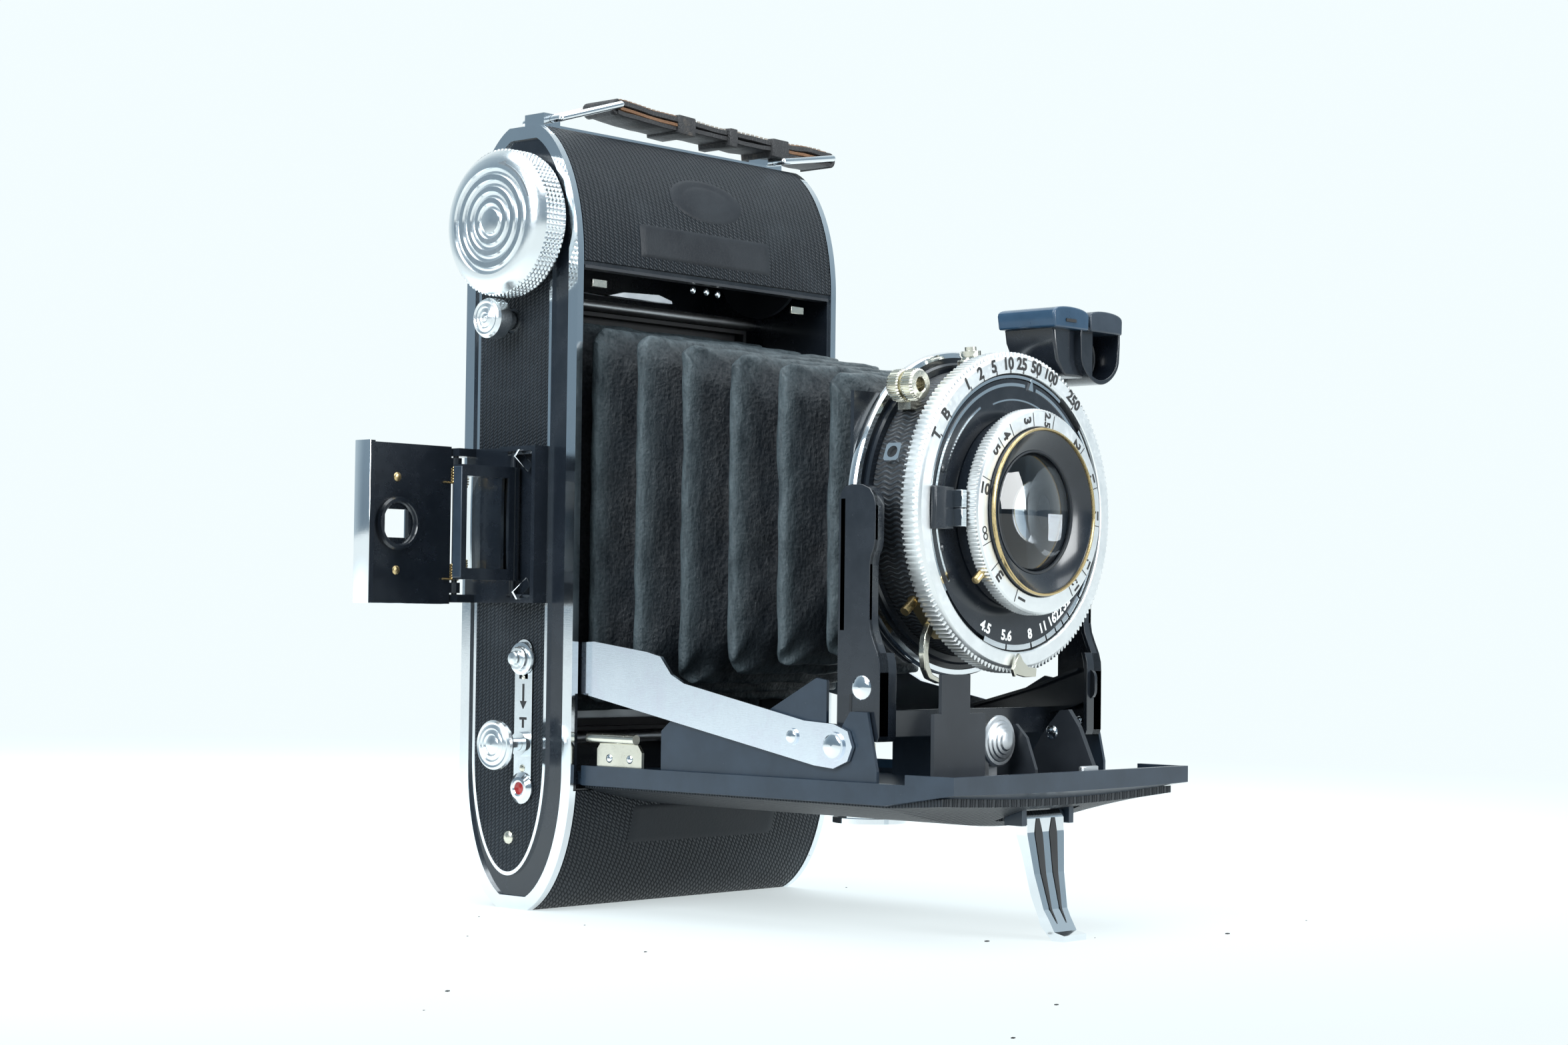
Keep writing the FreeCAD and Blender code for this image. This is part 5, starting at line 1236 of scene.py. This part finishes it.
def oval():
    mb = MB()
    cx, cz, rx, rz = 0.5, 144.2, 13.0, 5.6
    nr, na = 8, 64
    v, f = [], []
    for k in range(nr + 1):
        s = k / nr
        for i in range(na):
            t = 2 * math.pi * i / na
            c, sn = math.cos(t), math.sin(t)
            m = 0.82
            x, z = cx + rx * s * c * m, cz + rz * s * sn * m
            h = 0.22 if s < 0.66 else (0.05 if s < 0.8 else (0.22 if s < 0.97 else 0.0))
            v.append((x, skin_y(z, h - 0.02), z))
    for k in range(nr):
        for i in range(na):
            j = (i + 1) % na
            f.append((k * na + i, k * na + j, (k + 1) * na + j, (k + 1) * na + i))
    mb.add(v, f)
    mb.build("emboss_oval", "front_plain", "camera_body", 60.0, slot="leather_black")


oval()

# ============================================================ strap, wire loops
cad("wire_loops", "chrome", 0.0)


def strap():
    zl = 157.5
    L, R = (-16.5, zl + 5.2), (49.5, zl + 2.8)
    x_a, x_b = L[0] - 3.4, R[0] + 2.4

    def mid(x):
        t = (x - x_a) / (x_b - x_a)
        return L[1] + (R[1] - L[1]) * t - 2.4 * t * (1 - t)

    def band(name, x0, x1, lift, thick, wide, mat, wave=0.0, phase=0.0):
        n = 60
        v, f = [], []
        for i in range(n + 1):
            x = x0 + (x1 - x0) * i / n
            z = mid(x) + lift + wave * math.sin(x * 0.33 + phase)
            y0 = 0.35 * math.sin(x * 0.09)
            w = wide + 0.25 * noise.noise(Vector((x * 0.2, 1.3, phase)))
            cs = [(-w, 0.12), (-w * 0.93, 0.0), (0, -0.05), (w * 0.93, 0.0), (w, 0.12), (w, thick - 0.15), (w * 0.92, thick), (0, thick + 0.12), (-w * 0.92, thick), (-w, thick - 0.15)]
            for (yy, zz) in cs:
                v.append((x, y0 + yy, z + zz + 0.16 * noise.noise(Vector((x * 0.25, yy * 0.3, 4.0 + phase)))))
        m = 10
        for i in range(n):
            for j in range(m):
                k = (j + 1) % m
                f.append((i * m + j, i * m + k, (i + 1) * m + k, (i + 1) * m + j))
        f.append(tuple(range(m)))
        f.append(tuple(range(n * m, n * m + m)))
        return MB().add(v, f).build(name, mat, "camera_body", 45.0, slot="strap_leather")

    main = band("strap_band", L[0], R[0], 0.55, 1.15, 4.35, "strap", 0.12)
    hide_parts("carry_strap")
    band("strap_under_left", L[0], 6.0, -1.45, 1.1, 4.2, "strap", 0.1, 1.0)
    band("strap_lining_left", L[0] + 0.5, 3.5, -0.45, 0.85, 4.3, "strap_edge", 0.08, 0.4)
    band("strap_under_right", 31.0, R[0], -1.35, 1.05, 4.2, "strap", 0.1, 2.0)
    band("strap_lining_right", 33.0, R[0] - 0.5, -0.4, 0.85, 4.3, "strap_edge", 0.08, 0.9)
    band("strap_middle", 4.0, 33.0, -0.75, 1.1, 4.3, "strap", 0.1, 3.0)
    band("strap_top_edge", L[0] + 1.0, 2.0, 1.62, 0.35, 4.0, "strap_edge", 0.1, 0.2)
    band("strap_top_edge_right", 34.0, R[0] - 1.0, 1.6, 0.35, 4.0, "strap_edge", 0.1, 0.5)
    # rolled ends round the wires
    for nm, (cxx, cz), sgn in (("left", L, -1), ("right", R, 1)):
        n, m = 22, 8
        v, f = [], []
        for i in range(n + 1):
            t = math.radians(-95 + 190 * i / n)
            for yy in [(-4.3 + 8.6 * j / (m - 1)) for j in range(m)]:
                v.append((cxx + sgn * 1.45 * math.cos(t), yy, cz + 1.3 * math.sin(t)))
        for i in range(n):
            for j in range(m - 1):
                a = i * m + j
                f.append((a, a + 1, a + m + 1, a + m))
        ob = MB().add(v, f).build("strap_roll_" + nm, "strap", "camera_body", 50.0, slot="strap_leather")
        so = ob.modifiers.new("thick", "SOLIDIFY")
        so.thickness = 0.75 * MM
        so.offset = 0
    # keepers
    kp = MB()
    for x in (3.6, 18.0, 33.0):
        z = mid(x) - 0.6
        v, f = [], []
        outline = [(-4.9, -1.2), (4.9, -1.2), (5.1, 0.4), (4.9, 2.7), (0, 2.95), (-4.9, 2.7), (-5.1, 0.4)]
        w = 2.6 if x != 18.0 else 1.2
        for xx, g in ((x - w, 0.93), (x - w + 0.3, 1.0), (x + w - 0.3, 1.0), (x + w, 0.93)):
            zz0 = mid(xx) - mid(x)
            for yy, zz in outline:
                v.append((xx, 0.1 + yy * g, z + zz0 + 0.75 + (zz - 0.75) * g))
        m = len(outline)
        for i in range(3):
            for j in range(m):
                k = (j + 1) % m
                f.append((i * m + j, i * m + k, (i + 1) * m + k, (i + 1) * m + j))
        f.append(tuple(range(m)))
        f.append(tuple(range(3 * m, 4 * m)))
        kp.add(v, f)
    kp.build("strap_keepers", "strap", "camera_body", 45.0, bevel=0.12, slot="strap_leather")
    stch = MB()
    for x0, x1 in ((-14.0, 0.5), (7.0, 30.0), (36.5, 47.0)):
        x = x0
        while x < x1:
            for row in (-3.6, 3.6):
                z = mid(x) + 0.55 + 1.2 + 0.12 * math.sin(x * 0.33)
                stch.box(x - 0.42, x + 0.42, 0.35 * math.sin(x * 0.09) + row - 0.12, 0.35 * math.sin(x * 0.09) + row + 0.12, z - 0.2, z + 0.32)
            x += 1.4
    stch.build("strap_stitches", "thread", "camera_body", 30.0, slot="strap_leather")


strap()

# ============================================================ inside of the opening
tabs = MB()
tabs.box(-31.5, -27.5, -13.2, -12.6, 123.6, 125.2)
tabs.box(27.5, 31.5, -13.2, -12.6, 123.6, 125.2)
tabs.build("opening_tabs", "nickel", "camera_body", 30.0, bevel=0.1, slot="steel")
dome("opening_rivets", "chrome", "camera_body", [("-y", (-3.0, -13.3, 125.6), 0.8, 0.4), ("-y", (1.0, -13.3, 125.6), 0.8, 0.4), ("-y", (4.4, -13.3, 125.4), 0.8, 0.4)])

# ============================================================ stage, light, camera
COVE = (0.90, 0.985, 1.0)


def stage():
    bpy.ops.mesh.primitive_plane_add(size=24.0, location=(0, 0.4, 0))
    floor = bpy.context.object
    floor.name = "floor"
    m = Mat("floor_white")
    vec, x, y, z = m.coord()
    n1 = m.noise(6.0, 3.0, 0.5, vec)
    n2 = m.noise(900.0, 3.0, 0.6, vec)
    m.set(Base_Color=m.ramp(n1, [(0.3, (0.86, 0.925, 0.94)), (0.7, (0.89, 0.94, 0.95))]), Roughness=0.55, Specular_IOR_Level=0.10, Normal=m.bump(n2, 0.02 * MM, 0.3))
    # the paper runs into the white cove behind it without an edge
    far = m.math("ADD", m.math("MULTIPLY", x, 0.742), m.math("MULTIPLY", y, 0.670))
    lat = m.math("ADD", m.math("MULTIPLY", x, 0.670), m.math("MULTIPLY", y, -0.742))
    r = m.math("SQRT", m.math("ADD", m.math("MULTIPLY", far, far), m.math("MULTIPLY", m.math("MULTIPLY", lat, lat), 0.6)))
    fade = m.range(m.math("MAXIMUM", far, m.math("SUBTRACT", r, 0.02)), 0.10, 0.55, 0.0, 1.0)
    em = m.n("ShaderNodeEmission", Color=(*COVE, 1.0), Strength=1.0)
    mixn = m.m.node_tree.nodes.new("ShaderNodeMixShader")
    outn = [q for q in m.m.node_tree.nodes if q.type == "OUTPUT_MATERIAL"][0]
    bsdf = [q for q in m.m.node_tree.nodes if q.type == "BSDF_PRINCIPLED"][0]
    lk = m.m.node_tree.links
    sm = m.math("MULTIPLY", m.math("MULTIPLY", fade, fade), m.math("SUBTRACT", 3.0, m.math("MULTIPLY", fade, 2.0)))
    lk.new(sm, mixn.inputs[0])
    lk.new(bsdf.outputs[0], mixn.inputs[1])
    lk.new(em.outputs[0], mixn.inputs[2])
    lk.new(mixn.outputs[0], outn.inputs[0])
    floor.data.materials.append(m.m)
    # dust specks
    dm = MB()
    for i in range(16):
        px, py = rnd.uniform(-160, 90), rnd.uniform(-190, 40)
        if abs(px) < 45 and py > -20:
            continue
        r = rnd.uniform(0.12, 0.4)
        dm.box(px - r, px + r, py - r * 0.7, py + r * 0.7, 0.0, r * 0.5, Matrix.Rotation(rnd.uniform(0, 0.6), 4, "Z"))
    me = bpy.data.meshes.new("specks")
    me.from_pydata([p * MM for p in dm.v], [], dm.f)
    me.materials.append(M["black_ink"])
    so = bpy.data.objects.new("floor_specks", me)
    bpy.context.scene.collection.objects.link(so)
    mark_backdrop(floor, so)


stage()


def area(name, loc, target, size, power, color=(1, 1, 1), size_y=None):
    li = bpy.data.lights.new(name, "AREA")
    li.energy = power
    li.color = color
    li.shape = "RECTANGLE"
    li.size = size
    li.size_y = size_y or size
    ob = bpy.data.objects.new(name, li)
    bpy.context.scene.collection.objects.link(ob)
    ob.location = loc
    d = Vector(target) - Vector(loc)
    ob.rotation_euler = d.to_track_quat("-Z", "Y").to_euler()
    return ob


T = (0, -0.05, 0.08)
area("key_left", (-0.85, -0.10, 0.55), T, 0.55, 11.0, (0.93, 0.98, 1.0))
area("top_soft", (0.0, -0.15, 1.0), T, 1.3, 15.0, (0.95, 0.99, 1.0))
area("front_fill", (0.25, -0.95, 0.35), T, 0.45, 7.0, (0.96, 0.99, 1.0))

w = bpy.data.worlds.new("world")
bpy.context.scene.world = w
w.use_nodes = True
nt = w.node_tree
bg = nt.nodes["Background"]
tc = nt.nodes.new("ShaderNodeTexCoord")
sep = nt.nodes.new("ShaderNodeSeparateXYZ")
nt.links.new(tc.outputs["Generated"], sep.inputs[0])
# a white cove on one side of the room, a dimmer cool room on the other
dot = nt.nodes.new("ShaderNodeVectorMath")
dot.operation = "DOT_PRODUCT"
nt.links.new(tc.outputs["Generated"], dot.inputs[0])
dot.inputs[1].default_value = (0.742, 0.670, 0.0)
rp = nt.nodes.new("ShaderNodeValToRGB")
nt.links.new(dot.outputs["Value"], rp.inputs[0])
e = rp.color_ramp.elements
e[0].position, e[0].color = 0.0, (0.30, 0.38, 0.44, 1)
e[1].position, e[1].color = 0.80, (*COVE, 1)
k2 = e.new(0.40)
k2.color = (0.50, 0.60, 0.66, 1)
upr = nt.nodes.new("ShaderNodeValToRGB")
nt.links.new(sep.outputs[2], upr.inputs[0])
u = upr.color_ramp.elements
u[0].position, u[0].color = 0.0, (0.55, 0.60, 0.64, 1)
u[1].position, u[1].color = 0.85, (1.0, 1.0, 1.0, 1)
u3 = u.new(0.30)
u3.color = (0.75, 0.80, 0.84, 1)
# the lower the direction, the dimmer, but only on the dim side
inv = nt.nodes.new("ShaderNodeMix")
inv.data_type = "RGBA"
inv.blend_type = "MULTIPLY"
nt.links.new(rp.outputs[0], inv.inputs[6])
nt.links.new(upr.outputs[0], inv.inputs[7])
side = nt.nodes.new("ShaderNodeMapRange")
nt.links.new(dot.outputs["Value"], side.inputs[0])
side.inputs[1].default_value = 0.1
side.inputs[2].default_value = 0.5
side.inputs[3].default_value = 1.0
side.inputs[4].default_value = 0.0
nt.links.new(side.outputs[0], inv.inputs[0])
nt.links.new(inv.outputs[2], bg.inputs[0])
bg.inputs[1].default_value = 1.0

cam = bpy.data.cameras.new("camera")
cam.sensor_width = 36.0
cam.lens = 4187.0 / 2352.0 * 36.0
co = bpy.data.objects.new("camera", cam)
bpy.context.scene.collection.objects.link(co)
a, p, r = math.radians(47.91), math.radians(2.07), math.radians(0.69)
dv = Vector((math.sin(a) * math.cos(p), math.cos(a) * math.cos(p), math.sin(p)))
right = Vector((math.cos(a), -math.sin(a), 0))
up = right.cross(dv)
r2 = right * math.cos(r) + up * math.sin(r)
u2 = -right * math.sin(r) + up * math.cos(r)
co.matrix_world = Matrix.Translation(Vector((-415.3, -411.8, 57.2)) * MM) @ Matrix((r2, u2, -dv)).transposed().to_4x4()
cam.clip_start = 0.01
bpy.context.scene.camera = co
vs = bpy.context.scene.view_settings
vs.view_transform = "Standard"
vs.look = "None"
vs.exposure = 0.0

last_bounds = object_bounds()


def plain(b):
    return [[float(c) for c in p] for p in b] if b and hasattr(b[0], "__len__") else [float(c) for c in b]


{"after_load": plain(first_bounds), "before_finish": plain(last_bounds)}
